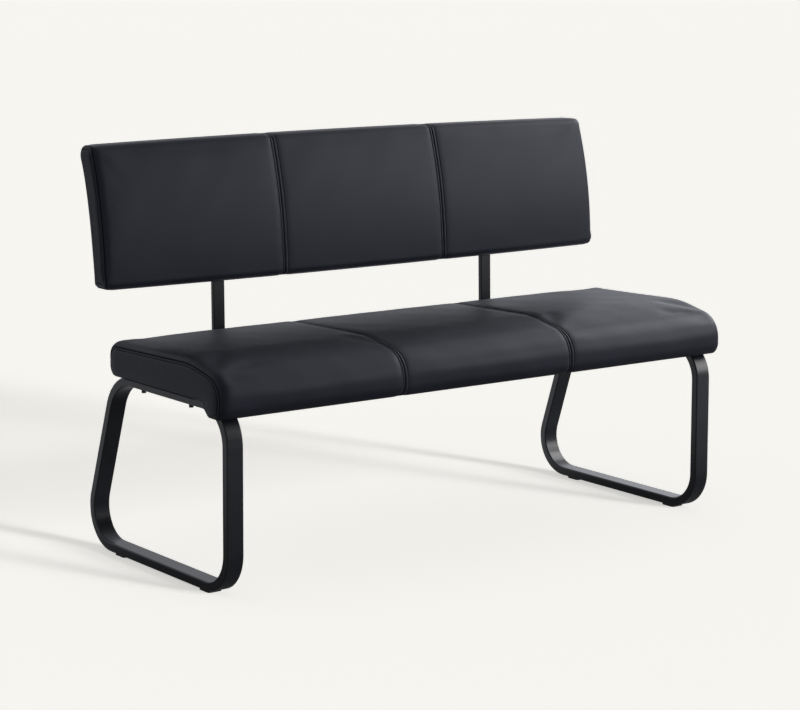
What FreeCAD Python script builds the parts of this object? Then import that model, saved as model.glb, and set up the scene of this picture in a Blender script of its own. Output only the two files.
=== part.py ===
"""Bench with backrest: tube leg loops, a padded seat on bent plywood and a padded back on two posts.

Millimetres, +Z up, +X along the bench, +Y towards the back.
The origin is on the floor, under the middle of the bench's length and depth.
"""
import FreeCAD, Part
import math
import os

# Overall sizes
LENGTH = 1400.0
DEPTH = 595.0
HEIGHT = 910.0
SEAT_END_INSET = 3.0
SEAT_DEPTH = 466.5
FRAME_HEIGHT = 410.0

# Clearances
FIT_GAP = 0.3
HOLE_GAP = 0.5
THREAD_GAP = 0.1
SLOT_GAP = 1.0
SEAM_GAP = 0.3

# Leg loops
LEG_WIDTH = 40.0
LEG_TUBE = 20.0
LEG_WALL = 2.0
LEG_EDGE_RADIUS = 3.0
LEG_INSET = 21.0
LEG_SETBACK = 17.8
LEG_BEND = 90.0
LEG_REAR_TOP_BEND = 108.0
LEG_LEAN = 19.4

# Floor glides
GLIDE_HEIGHT = 4.0
GLIDE_LENGTH = 40.0
GLIDE_WIDTH = 34.0
GLIDE_CORNER = 6.0
GLIDE_STEM_RADIUS = 4.0
GLIDE_STEM_LENGTH = 7.0
GLIDE_FRONT_OVERHANG = 10.0
GLIDE_REAR_MARGIN = 15.0

# Seat
COVER = 1.2
SHELL = 12.0
SHELL_LIP_ANGLE = 45.0
SHELL_END_MARGIN = 8.5
SEAT_RISE_REAR = 81.0
SEAT_RISE_CROWN = 90.0
SEAT_RISE_FRONT = 62.0
SEAT_CROWN_SETBACK = 131.0
SEAT_LIP_DROP = 29.0
SEAT_CROWN_ROLL = 300.0
SEAT_FRONT_ROLL = 64.0
SEAT_LIP_ROLL = 28.0
SEAT_REAR_TOP_ROLL = 37.0
SEAT_REAR_LOW_ROLL = 34.0
SEAT_END_DROP = 5.0
FLANGE_REAR = 60.0
FLANGE_LIP_ANGLE = 62.0

# Backrest
BACK_BOTTOM = 593.5
BACK_STEP = 3.3
BACK_THICKNESS = 52.4
BACK_FRONT_RADIUS = 925.0
BACK_FRONT_LEVEL = 597.0
BACK_REAR_RADIUS = 1000.0
BACK_REAR_LEVEL = 526.0
BACK_FRONT_TOP_ROLL = 22.0
BACK_REAR_TOP_ROLL = 20.0
BACK_FRONT_LOW_ROLL = 18.0
BACK_REAR_LOW_ROLL = 3.0
BOARD = 9.0
BOARD_MARGIN = 8.0
BOARD_RADIUS = 900.0
BOARD_LEVEL = 578.5

# Posts between seat and backrest
POST_WIDTH = 30.0
POST_TUBE = 12.0
POST_WALL = 1.5
POST_EDGE_RADIUS = 2.5
POST_SPACING = 770.0
POST_BEND = 30.0
POST_STANDOFF = 41.8
POST_CURVE_START = 595.5
POST_TOP = 835.5
POST_ARM_REACH = 212.5
PLUG_FLANGE = 2.0
PLUG_DEPTH = 10.0

# Fasteners
BOLT_RADIUS = 3.0
HEAD_RADIUS = 5.0
HEAD_HEIGHT = 6.0
LOW_HEAD_HEIGHT = 3.3
SOCKET_ACROSS = 5.0
SOCKET_DEPTH = 3.0
LOW_SOCKET_DEPTH = 1.8
WASHER_RADIUS = 6.0
WASHER = 1.6
WASHER_GAP = 0.05
INSERT_RADIUS = 5.0
INSERT_ENGAGED = 9.0
LEG_BOLT_PITCH = 18.0
LEG_BOLT_SETBACKS = (174.5, 369.5)
POST_BOLT_REACHES = (78.0, 130.0, 182.0)
BACK_BOLT_RISES = (102.0, 202.0)

# Seams split the upholstery into equal panels
PANEL_NAMES = ("left", "middle", "right")

# Places worked out from the sizes
SIDES = (("left", -1), ("right", 1))
UP = FreeCAD.Vector(0, 0, 1)
X_AXIS = FreeCAD.Vector(1, 0, 0)
SEAT_LENGTH = LENGTH - 2 * SEAT_END_INSET
SEAT_FRONT = -DEPTH / 2
SEAT_REAR = SEAT_FRONT + SEAT_DEPTH
SEAT_BASE = FRAME_HEIGHT + FIT_GAP
SHELL_BASE = SEAT_BASE + COVER + FIT_GAP
LIP_BOTTOM = FRAME_HEIGHT - SEAT_LIP_DROP
LEG_X = SEAT_LENGTH / 2 - LEG_INSET - LEG_WIDTH / 2
LEG_FRONT = SEAT_FRONT + LEG_SETBACK
BEND_Y = LEG_FRONT + LEG_BEND
BEND_Z = FRAME_HEIGHT - LEG_BEND
BACK_FRONT = SEAT_REAR + BACK_STEP
BACK_REAR = BACK_FRONT + BACK_THICKNESS
POST_X = POST_SPACING / 2
POST_Y = SEAT_REAR + POST_STANDOFF + POST_TUBE / 2
ARM_Z = FRAME_HEIGHT - POST_TUBE / 2
ARM_END = SEAT_REAR - POST_ARM_REACH
POST_CURVE_RADIUS = BOARD_RADIUS - FIT_GAP - POST_TUBE / 2
POST_TILT = math.asin((POST_CURVE_START - BOARD_LEVEL) / POST_CURVE_RADIUS)
BOARD_CENTRE = FreeCAD.Vector(0, POST_Y + POST_CURVE_RADIUS * math.cos(POST_TILT), BOARD_LEVEL)


def point(y, z):
    """Point of the middle section, X = 0."""
    return FreeCAD.Vector(0, y, z)


def polar(centre, radius, degrees):
    """Point of a section circle; 90 degrees is straight up and 0 is towards the front."""
    angle = math.radians(degrees)
    return centre + point(-radius * math.cos(angle), radius * math.sin(angle))


def line(start, end):
    """Straight edge."""
    return Part.LineSegment(start, end).toShape()


def arc(start, middle, end):
    """Round edge through three points."""
    return Part.Arc(start, middle, end).toShape()


def rounded_chain(points, radii):
    """Edges along a row of points, each inner corner rounded by a tangent arc."""
    edges = []
    last = points[0]
    for i, radius in enumerate(radii, start=1):
        here = points[i]
        before = (points[i - 1] - here).normalize()
        after = (points[i + 1] - here).normalize()
        half = before.getAngle(after) / 2
        reach = radius / math.tan(half)
        middle = here + (before + after).normalize() * (radius / math.sin(half) - radius)
        edges.append(line(last, here + before * reach))
        last = here + after * reach
        edges.append(arc(here + before * reach, middle, last))
    edges.append(line(last, points[-1]))
    return edges


def face_of(edges):
    """Flat face inside a closed row of edges."""
    return Part.Face(Part.Wire(edges))


def polygon_face(points):
    """Flat face inside straight edges."""
    return Part.Face(Part.makePolygon(points + points[:1]))


def along_x(face, low, high):
    """Solid swept from a section face between two X places."""
    moved = face.copy()
    moved.translate(X_AXIS * low)
    return moved.extrude(X_AXIS * (high - low))


def box(x, y, z):
    """Box from three (low, high) pairs."""
    size = [high - low for low, high in (x, y, z)]
    return Part.makeBox(*size, FreeCAD.Vector(x[0], y[0], z[0]))


def rod(radius, base, direction, length):
    """Round rod from a base point along a direction."""
    return Part.makeCylinder(radius, length, base, direction)


def edges_along(shape, axis_length, least):
    """Edges of a shape that run further than the least length along one axis."""
    return [edge for edge in shape.Edges if getattr(edge.BoundBox, axis_length) > least]


def save(name, shape):
    """Write one node; a list of solids becomes a group."""
    result = Part.makeCompound(shape) if isinstance(shape, list) else shape
    result.exportStep(f"parts/{name}.step")


# Fasteners
def bolt(seat_point, direction, shaft, head):
    """Socket-head bolt: its head's underside is at the seat point and its shaft runs along the direction.

    The head is its height and its socket's depth.
    """
    height, socket = head
    mouth = seat_point - direction * height
    other = direction.cross(X_AXIS)
    reach = SOCKET_ACROSS / math.sqrt(3)
    turns = [math.radians(60 * step) for step in range(6)]
    hexagon = [mouth + X_AXIS * (reach * math.cos(turn)) + other * (reach * math.sin(turn)) for turn in turns]
    body = rod(BOLT_RADIUS - THREAD_GAP / 2, seat_point, direction, shaft)
    cap = rod(HEAD_RADIUS, mouth, direction, height)
    return cap.fuse(body).removeSplitter().cut(polygon_face(hexagon).extrude(direction * socket))


def sleeve(outer, inner, base, direction, length):
    """Round sleeve, such as a washer or an insert nut."""
    return rod(outer, base, direction, length).cut(rod(inner, base, direction, length))


def fastener_set(name, places, tube, gap, nut_length, engaged, head):
    """Bolts, washers and insert nuts that clamp a tube to plywood.

    Each place is a point on the tube's clamped face and the bolt's direction.
    """
    bolts, washers, nuts = [], [], []
    for place, direction in places:
        clamped = WASHER + WASHER_GAP + tube
        under = place - direction * clamped
        nut_base = place + direction * gap
        bolts.append(bolt(under, direction, clamped + gap + engaged, head))
        washers.append(sleeve(WASHER_RADIUS, BOLT_RADIUS + HOLE_GAP / 2, under, direction, WASHER))
        nuts.append(sleeve(INSERT_RADIUS, BOLT_RADIUS + THREAD_GAP / 2, nut_base, direction, nut_length))
    save(f"{name}_bolts", bolts)
    save(f"{name}_washers", washers)
    save(f"{name}_insert_nuts", nuts)


def leg_bolt_places():
    """Bolt places on the top faces of both leg loops, two abreast."""
    places = []
    for _, sign in SIDES:
        for setback in LEG_BOLT_SETBACKS:
            for offset in (-LEG_BOLT_PITCH / 2, LEG_BOLT_PITCH / 2):
                x = sign * LEG_X + offset
                places.append((FreeCAD.Vector(x, SEAT_FRONT + setback, FRAME_HEIGHT), UP))
    return places


def post_bolt_places():
    """Bolt places on the top faces of both post arms."""
    rows = [(sign * POST_X, SEAT_REAR - reach) for _, sign in SIDES for reach in POST_BOLT_REACHES]
    return [(FreeCAD.Vector(x, y, FRAME_HEIGHT), UP) for x, y in rows]


def back_bolt_places():
    """Bolt places on the front faces of both posts, inside the backrest, square to the curved board."""
    places = []
    for _, sign in SIDES:
        for rise in BACK_BOLT_RISES:
            slope = (BACK_BOTTOM + rise - BOARD_LEVEL) / BOARD_RADIUS
            radial = FreeCAD.Vector(0, -math.sqrt(1 - slope * slope), slope)
            centre = BOARD_CENTRE + X_AXIS * (sign * POST_X)
            places.append((centre + radial * (BOARD_RADIUS - FIT_GAP), radial))
    return places


def tube_holes(places, tube):
    """Clearance holes through a tube under its bolt places, a little longer than the tube is deep."""
    radius = BOLT_RADIUS + HOLE_GAP
    reach = tube + HOLE_GAP
    length = reach + HOLE_GAP
    return [rod(radius, place - direction * reach, direction, length) for place, direction in places]


def insert_holes(places, gap, depth):
    """Holes in plywood that take the insert nuts."""
    radius = INSERT_RADIUS + THREAD_GAP
    return [rod(radius, place + direction * gap, direction, depth) for place, direction in places]


# Leg loops and glides
def leg_outline():
    """Outer outline of a leg loop: upright front, leaning rear, level top and bottom."""
    lean = math.radians(LEG_LEAN)
    bend_y = DEPTH / 2 - LEG_BEND
    bend_z = GLIDE_HEIGHT + LEG_BEND
    offset = bend_y * math.cos(lean) + bend_z * math.sin(lean) + LEG_BEND

    def rear_corner(z):
        return point((offset - z * math.sin(lean)) / math.cos(lean), z)

    start = point((LEG_FRONT + bend_y) / 2, GLIDE_HEIGHT)
    corners = [
        start,
        point(LEG_FRONT, GLIDE_HEIGHT),
        point(LEG_FRONT, FRAME_HEIGHT),
        rear_corner(FRAME_HEIGHT),
        rear_corner(GLIDE_HEIGHT),
        start,
    ]
    return face_of(rounded_chain(corners, [LEG_BEND, LEG_BEND, LEG_REAR_TOP_BEND, LEG_BEND]))


def glide_places():
    """Y centres of the front and the rear glide under a leg loop."""
    front = BEND_Y - GLIDE_FRONT_OVERHANG + GLIDE_LENGTH / 2
    rear = DEPTH / 2 - LEG_BEND - GLIDE_REAR_MARGIN - GLIDE_LENGTH / 2
    return (("front", front), ("rear", rear))


def leg_frame(sign):
    """Closed loop of flat tube, hollow, with holes for its bolts and glide stems."""
    centre = sign * LEG_X
    outer = leg_outline()
    band = outer.cut(outer.makeOffset2D(-LEG_TUBE))
    solid = along_x(band, centre - LEG_WIDTH / 2, centre + LEG_WIDTH / 2)
    rims = [edge for edge in solid.Edges if edge.BoundBox.XLength < LEG_WIDTH / 2]
    solid = solid.makeFillet(LEG_EDGE_RADIUS, rims)
    hollow = outer.makeOffset2D(-LEG_WALL).cut(outer.makeOffset2D(LEG_WALL - LEG_TUBE))
    half_hollow = LEG_WIDTH / 2 - LEG_WALL
    cutters = [along_x(hollow, centre - half_hollow, centre + half_hollow)]
    cutters += tube_holes(leg_bolt_places(), LEG_TUBE)
    for _, y in glide_places():
        stem_base = FreeCAD.Vector(centre, y, GLIDE_HEIGHT)
        cutters.append(rod(GLIDE_STEM_RADIUS + THREAD_GAP, stem_base, UP, LEG_WALL))
    return solid.cut(cutters)


def glide(sign, y):
    """Flat floor pad with rounded corners and a stem that pushes into the tube."""
    x = sign * LEG_X
    half_width = GLIDE_WIDTH / 2
    half_length = GLIDE_LENGTH / 2
    pad = box((x - half_width, x + half_width), (y - half_length, y + half_length), (0, GLIDE_HEIGHT))
    pad = pad.makeFillet(GLIDE_CORNER, edges_along(pad, "ZLength", GLIDE_HEIGHT / 2))
    stem = rod(GLIDE_STEM_RADIUS, FreeCAD.Vector(x, y, GLIDE_HEIGHT), UP, GLIDE_STEM_LENGTH)
    return pad.fuse(stem).removeSplitter()


# Posts
def post_path():
    """Centre line of a post: arm under the seat, bend, upright and the curve inside the backrest."""
    upright = point(math.sin(POST_TILT), math.cos(POST_TILT))
    curve_start = point(POST_Y, POST_CURVE_START)
    corner = curve_start - upright * ((POST_CURVE_START - ARM_Z) / upright.z)

    def on_curve(z):
        rise = z - BOARD_LEVEL
        return point(BOARD_CENTRE.y - math.sqrt(POST_CURVE_RADIUS ** 2 - rise * rise), z)

    edges = rounded_chain([point(ARM_END, ARM_Z), corner, curve_start], [POST_BEND])
    edges.append(arc(curve_start, on_curve((POST_CURVE_START + POST_TOP) / 2), on_curve(POST_TOP)))
    return Part.Wire(edges)


def post_bar(sign, grow):
    """Solid bar along a post's centre line, its section grown on every side."""
    half_width = POST_WIDTH / 2 + grow
    half_depth = POST_TUBE / 2 + grow
    length = (ARM_END, ARM_END + POST_TUBE)
    slab = box((-half_width, half_width), length, (ARM_Z - half_depth, ARM_Z + half_depth))
    slab = slab.makeFillet(POST_EDGE_RADIUS + grow, edges_along(slab, "YLength", POST_TUBE / 2))
    front = min(slab.Faces, key=lambda face: face.CenterOfMass.y)
    bar = post_path().makePipeShell([front.OuterWire], True, True)
    bar.translate(X_AXIS * (sign * POST_X))
    return bar


def back_post(sign):
    """L-shaped flat tube, hollow, with holes for the seat bolts and the backrest bolts."""
    cutters = tube_holes(post_bolt_places(), POST_TUBE) + tube_holes(back_bolt_places(), POST_TUBE)
    return post_bar(sign, 0.0).cut(post_bar(sign, -POST_WALL)).cut(cutters)


def post_plug(sign):
    """Plastic plug that closes the front end of a post's arm."""
    x = sign * POST_X
    inner_half_width = POST_WIDTH / 2 - POST_WALL - FIT_GAP
    inner_half_depth = POST_TUBE / 2 - POST_WALL - FIT_GAP
    flange = box((x - POST_WIDTH / 2, x + POST_WIDTH / 2), (ARM_END - PLUG_FLANGE, ARM_END),
                 (ARM_Z - POST_TUBE / 2, ARM_Z + POST_TUBE / 2))
    flange = flange.makeFillet(POST_EDGE_RADIUS, edges_along(flange, "YLength", PLUG_FLANGE / 2))
    tongue = box((x - inner_half_width, x + inner_half_width), (ARM_END, ARM_END + PLUG_DEPTH),
                 (ARM_Z - inner_half_depth, ARM_Z + inner_half_depth))
    tongue = tongue.makeFillet(POST_WALL, edges_along(tongue, "YLength", PLUG_DEPTH / 2))
    return flange.fuse(tongue).removeSplitter()


# Seat
def seat_outline(drop):
    """Outer outline of the padded seat: front roll, lip over the leg bend and a round rear edge.

    The drop lowers the underside and the lip.
    """
    centre = point(BEND_Y, BEND_Z)
    radius = LEG_BEND + FIT_GAP - drop
    lip = LIP_BOTTOM - drop
    lip_angle = math.degrees(math.asin((lip - BEND_Z) / radius))
    lip_end = polar(centre, radius, lip_angle)
    bend_top = polar(centre, radius, 90)
    corners = [
        bend_top,
        point(SEAT_REAR, SEAT_BASE - drop),
        point(SEAT_REAR, SEAT_BASE + SEAT_RISE_REAR),
        point(SEAT_FRONT + SEAT_CROWN_SETBACK, SEAT_BASE + SEAT_RISE_CROWN),
        point(SEAT_FRONT, SEAT_BASE + SEAT_RISE_FRONT),
        point(SEAT_FRONT, lip),
        lip_end,
    ]
    radii = [SEAT_REAR_LOW_ROLL, SEAT_REAR_TOP_ROLL, SEAT_CROWN_ROLL, SEAT_FRONT_ROLL, SEAT_LIP_ROLL]
    edges = rounded_chain(corners, radii)
    edges.append(arc(lip_end, polar(centre, radius, (lip_angle + 90) / 2), bend_top))
    return face_of(edges)


def shell_section(grow):
    """Bent plywood: flat under the seat and turned down over the leg bend, grown on every side."""
    centre = point(BEND_Y, BEND_Z)
    low = SHELL_BASE - BEND_Z - grow
    high = low + SHELL + 2 * grow
    tip = SHELL_LIP_ANGLE - math.degrees(grow / low)
    middle = (tip + 90) / 2
    rear = SEAT_REAR - SEAT_REAR_LOW_ROLL + grow
    rear_low = point(rear, BEND_Z + low)
    rear_high = point(rear, BEND_Z + high)
    return face_of([
        line(rear_low, polar(centre, low, 90)),
        arc(polar(centre, low, 90), polar(centre, low, middle), polar(centre, low, tip)),
        line(polar(centre, low, tip), polar(centre, high, tip)),
        arc(polar(centre, high, tip), polar(centre, high, middle), polar(centre, high, 90)),
        line(polar(centre, high, 90), rear_high),
        line(rear_high, rear_low),
    ])


def shell_solid(grow):
    """Seat shell over its length."""
    half = SEAT_LENGTH / 2 - SHELL_END_MARGIN + grow
    return along_x(shell_section(grow), -half, half)


def under_seat_mask():
    """Section area under the shell, between the turned-in edges of the cover."""
    centre = point(BEND_Y, BEND_Z)
    beyond = LEG_BEND + SHELL
    flange_end = SEAT_REAR - FLANGE_REAR
    return polygon_face([
        centre,
        polar(centre, beyond, FLANGE_LIP_ANGLE),
        point(BEND_Y, BEND_Z + beyond),
        point(flange_end, BEND_Z + beyond),
        point(flange_end, BEND_Z),
    ])


def panel_spans(length, edge):
    """X spans of the sewn panels, which meet at the seams and stop an edge short of both ends."""
    pitch = length / len(PANEL_NAMES)
    spans = []
    for i, name in enumerate(PANEL_NAMES):
        low = -length / 2 + i * pitch
        low_gap = edge if i == 0 else SEAM_GAP / 2
        high_gap = edge if i == len(PANEL_NAMES) - 1 else SEAM_GAP / 2
        spans.append((name, low + low_gap, low + pitch - high_gap))
    return spans


def build_seat():
    """Shell, foam, three cover panels, two end panels and the dust cover."""
    outline = seat_outline(0.0)
    half = SEAT_LENGTH / 2
    skin = outline.cut(outline.makeOffset2D(-COVER))
    mask = under_seat_mask()
    places = leg_bolt_places() + post_bolt_places()
    stack = SHELL_BASE - FRAME_HEIGHT
    save("seat_shell", shell_solid(0.0).cut(insert_holes(places, stack, SHELL)))
    filling = along_x(outline.makeOffset2D(-COVER - FIT_GAP), COVER + FIT_GAP - half, half - COVER - FIT_GAP)
    save("seat_foam", filling.cut(shell_solid(FIT_GAP)))
    for name, low, high in panel_spans(SEAT_LENGTH, COVER):
        save(f"seat_cover_{name}", along_x(skin.cut(mask), low, high))
    under = along_x(skin.common(mask), COVER - half, half - COVER)
    clearances = [rod(BOLT_RADIUS + HOLE_GAP, place, direction, stack) for place, direction in places]
    save("seat_dust_cover", under.cut(clearances))
    for name, sign in SIDES:
        low, high = sorted((sign * half, sign * (half - COVER)))
        save(f"seat_end_panel_{name}", along_x(seat_outline(SEAT_END_DROP), low, high))


# Backrest
def back_curve(y, level, radius, z):
    """Point of the backrest's front or rear curve at a height."""
    rise = z - level
    return point(y + radius - math.sqrt(radius * radius - rise * rise), z)


def back_outline():
    """Outer outline of the padded backrest: two arcs that open upwards, with rounded long edges."""
    front = (BACK_FRONT, BACK_FRONT_LEVEL, BACK_FRONT_RADIUS)
    rear = (BACK_REAR, BACK_REAR_LEVEL, BACK_REAR_RADIUS)
    middle = (BACK_BOTTOM + HEIGHT) / 2
    front_low, front_mid, front_top = [back_curve(*front, z) for z in (BACK_BOTTOM, middle, HEIGHT)]
    rear_low, rear_mid, rear_top = [back_curve(*rear, z) for z in (BACK_BOTTOM, middle, HEIGHT)]
    block = along_x(face_of([
        arc(front_low, front_mid, front_top),
        line(front_top, rear_top),
        arc(rear_top, rear_mid, rear_low),
        line(rear_low, front_low),
    ]), 0, LENGTH)
    rolls = (
        (front_low, BACK_FRONT_LOW_ROLL),
        (front_top, BACK_FRONT_TOP_ROLL),
        (rear_low, BACK_REAR_LOW_ROLL),
        (rear_top, BACK_REAR_TOP_ROLL),
    )
    for corner, roll in rolls:
        long_edges = edges_along(block, "XLength", LENGTH / 2)
        target = Part.Vertex(corner)
        block = block.makeFillet(roll, [min(long_edges, key=lambda edge: edge.distToShape(target)[0])])
    return min(block.Faces, key=lambda face: face.CenterOfMass.x)


def board_cylinder(radius):
    """Round bar along the bench about the board's centre of curvature."""
    return rod(radius, BOARD_CENTRE - X_AXIS * LENGTH, X_AXIS, 2 * LENGTH)


def rear_mask():
    """Section area behind the seam that joins the front covers to the back cover."""
    inner = (BACK_REAR - 2 * COVER, BACK_REAR_LEVEL, BACK_REAR_RADIUS)
    low_z = BACK_BOTTOM + BACK_REAR_LOW_ROLL
    top_z = HEIGHT - BACK_REAR_TOP_ROLL
    low, middle, top = [back_curve(*inner, z) for z in (low_z, (low_z + top_z) / 2, top_z)]
    behind = point(BACK_THICKNESS, 0)
    return face_of([
        arc(low, middle, top),
        line(top, top + behind),
        line(top + behind, low + behind),
        line(low + behind, low),
    ])


def build_backrest():
    """Curved board, foam on both sides, three front panels, two end panels and the back cover."""
    outline = back_outline()
    half = LENGTH / 2
    skin = outline.cut(outline.makeOffset2D(-COVER))
    filling = along_x(outline.makeOffset2D(-COVER - FIT_GAP), COVER + FIT_GAP - half, half - COVER - FIT_GAP)
    slots = [post_bar(sign, SLOT_GAP) for _, sign in SIDES]
    places = back_bolt_places()
    pocket_radius = WASHER_RADIUS + SLOT_GAP
    pockets = [rod(pocket_radius, place, direction * -1, 2 * POST_TUBE) for place, direction in places]
    board = along_x(outline.makeOffset2D(-BOARD_MARGIN), BOARD_MARGIN - half, half - BOARD_MARGIN)
    board = board.common(board_cylinder(BOARD_RADIUS + BOARD)).cut(board_cylinder(BOARD_RADIUS))
    save("backrest_board", board.cut(insert_holes(places, FIT_GAP, BOARD)))
    save("backrest_front_foam", filling.cut(board_cylinder(BOARD_RADIUS + BOARD + FIT_GAP)))
    rear_foam = filling.common(board_cylinder(BOARD_RADIUS - FIT_GAP)).cut(slots + pockets)
    save("backrest_rear_foam", rear_foam)
    for name, low, high in panel_spans(LENGTH, COVER):
        save(f"backrest_cover_{name}", along_x(skin.cut(rear_mask()), low, high).cut(slots))
    save("backrest_back_cover", along_x(skin.common(rear_mask()), COVER - half, half - COVER).cut(slots))
    for name, sign in SIDES:
        low, high = sorted((sign * half, sign * (half - COVER)))
        save(f"backrest_end_panel_{name}", along_x(outline, low, high))


def main():
    """Write every node."""
    os.makedirs("parts", exist_ok=True)
    for name, sign in SIDES:
        save(f"{name}_leg_frame", leg_frame(sign))
        for place, y in glide_places():
            save(f"{name}_{place}_glide", glide(sign, y))
        save(f"{name}_back_post", back_post(sign))
        save(f"{name}_post_plug", post_plug(sign))
    build_seat()
    build_backrest()
    stack = SHELL_BASE - FRAME_HEIGHT
    tall_head = (HEAD_HEIGHT, SOCKET_DEPTH)
    low_head = (LOW_HEAD_HEIGHT, LOW_SOCKET_DEPTH)
    fastener_set("leg", leg_bolt_places(), LEG_TUBE, stack, SHELL, INSERT_ENGAGED, tall_head)
    fastener_set("post", post_bolt_places(), POST_TUBE, stack, SHELL, INSERT_ENGAGED, tall_head)
    fastener_set("backrest", back_bolt_places(), POST_TUBE, FIT_GAP, BOARD, BOARD, low_head)


main()
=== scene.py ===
"""Bench with backrest: sewn leather cushions, thread, lining cloth and every finish.

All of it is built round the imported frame, in metres and in the frame's own axes.
"""

import logging
import math
from dataclasses import dataclass, field
from enum import Enum
from typing import Any, Sequence

import bmesh
import bpy
import numpy as np
from mathutils import Matrix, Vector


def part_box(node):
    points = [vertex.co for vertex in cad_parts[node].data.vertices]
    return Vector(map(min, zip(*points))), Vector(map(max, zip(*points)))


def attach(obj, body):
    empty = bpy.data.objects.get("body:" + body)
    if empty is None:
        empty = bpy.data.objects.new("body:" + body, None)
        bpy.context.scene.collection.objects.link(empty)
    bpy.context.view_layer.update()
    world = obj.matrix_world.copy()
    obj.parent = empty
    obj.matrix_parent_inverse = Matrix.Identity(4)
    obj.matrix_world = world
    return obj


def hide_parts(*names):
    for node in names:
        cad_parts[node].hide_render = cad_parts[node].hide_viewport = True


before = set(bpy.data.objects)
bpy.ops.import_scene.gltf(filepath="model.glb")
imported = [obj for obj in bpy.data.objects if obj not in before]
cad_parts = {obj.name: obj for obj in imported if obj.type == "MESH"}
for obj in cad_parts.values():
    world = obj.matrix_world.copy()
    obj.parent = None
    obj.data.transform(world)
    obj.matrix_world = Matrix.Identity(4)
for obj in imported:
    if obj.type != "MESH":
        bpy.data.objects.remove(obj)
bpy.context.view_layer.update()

Array = np.ndarray
Colour = tuple[float, float, float]
Place = tuple[float, float, float]
log = logging.getLogger("bench")

PHOTO_WIDTH, PHOTO_HEIGHT = 800, 710
BODY = "root"
# Name of the mesh attribute that says where the seams' painted shade goes.
SEAM_SHADE = "sewn"
QUARTER = math.pi / 2.0
# What an arc leaves of its straight run, in metres, so that no two points meet.
HAIR = 1e-5
ARC_POINTS = 49
DENSE_POINTS = 900
# Shares across an end panel, closer together at its edges.
ACROSS_PANEL = (1.0 - np.cos(np.linspace(0.0, math.pi, 57))) / 2.0


class Slot(Enum):
    """The record's material slots of the made pieces."""

    UPHOLSTERY = "upholstery"
    LINING = "dust_cover"
    FASTENER = "fastener"


class End(Enum):
    """The two ends of a cushion, as the side of X they stand on."""

    LEFT = -1
    RIGHT = 1


def ease(value: Array) -> Array:
    """Smooth step, 3t^2 - 2t^3 with t held between 0 and 1."""
    t = np.clip(value, 0.0, 1.0)
    return t * t * (3.0 - 2.0 * t)


def bell(value: Array, width: float) -> Array:
    """A bell of height 1 at 0, exp(-(value / width)^2)."""
    return np.exp(-((value / width) ** 2))


def stations(
    start: float, end: float, places: Sequence[float], step: float, fine: float, reach: float
) -> Array:
    """Places along a line that come close together near the named places.

    The spacing eases from fine within reach of a place to step at four times that, and the
    stations are equal parts of the running total of 1 / spacing.

    Args:
        start: Where the line starts.
        end: Where the line ends.
        places: Where the spacing is fine.
        step: Spacing far from every place.
        fine: Spacing at a place.
        reach: How far from a place the spacing stays fine.

    Returns:
        The stations in rising order, with both ends.
    """
    line = np.linspace(start, end, int((end - start) / (0.4 * fine)) + 2)
    near = np.abs(line[:, None] - np.asarray(places)[None, :]).min(axis=1)
    rate = 1.0 / (fine + (step - fine) * ease((near - reach) / (3.0 * reach)))
    total = np.concatenate([[0.0], np.cumsum(np.diff(line) * 0.5 * (rate[1:] + rate[:-1]))])
    parts = np.linspace(0.0, total[-1], int(np.ceil(total[-1])) + 1)
    return np.interp(parts, total, line)


def spline_weights(distance: Array) -> Array:
    """Weights of a cubic B-spline.

    2/3 - d^2 + d^3/2 for d under 1, (2 - d)^3/6 from 1 to 2, then nothing.

    Args:
        distance: Distances d from a knot, in knots.

    Returns:
        The weights.
    """
    d = np.abs(distance)
    near = 2.0 / 3.0 - d**2 + 0.5 * d**3
    far = np.clip(2.0 - d, 0.0, None) ** 3 / 6.0
    return np.where(d < 1.0, near, far)


def walked(line: Array) -> Array:
    """The length walked along a line up to each of its points."""
    return np.concatenate([[0.0], np.cumsum(np.linalg.norm(np.diff(line, axis=0), axis=1))])


def taken(values: Array, run: Array, lengths: Array) -> Array:
    """Rows of values at given lengths, by linear steps, where run is the length at each row."""
    return np.stack([np.interp(lengths, run, column) for column in values.T], axis=1)


def at_lengths(line: Array, lengths: Array) -> Array:
    """Points of a line at given lengths along it."""
    return taken(line, walked(line), lengths)


def unit(vectors: Array) -> Array:
    """Rows of vectors, each made one long."""
    return vectors / np.linalg.norm(vectors, axis=1, keepdims=True)


def quads(rows: int, columns: int, closed: bool = False) -> Array:
    """Four-cornered faces of a grid whose points are numbered row by row.

    Args:
        rows: Number of rows of points.
        columns: Number of points in a row.
        closed: Whether the last column joins the first.

    Returns:
        The faces, four point numbers each.
    """
    index = np.arange(rows * columns).reshape(rows, columns)
    if closed:
        index = np.concatenate([index, index[:, :1]], axis=1)
    corners = (index[:-1, :-1], index[1:, :-1], index[1:, 1:], index[:-1, 1:])
    return np.stack(corners, axis=-1).reshape(-1, 4)


def linked(name: str, data: bpy.types.ID) -> bpy.types.Object:
    """A new object at the origin, linked into the scene.

    Args:
        name: Name of the object.
        data: Its mesh, lamp or camera.

    Returns:
        The object.
    """
    made = bpy.data.objects.new(name, data)
    bpy.context.scene.collection.objects.link(made)
    return made


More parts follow.
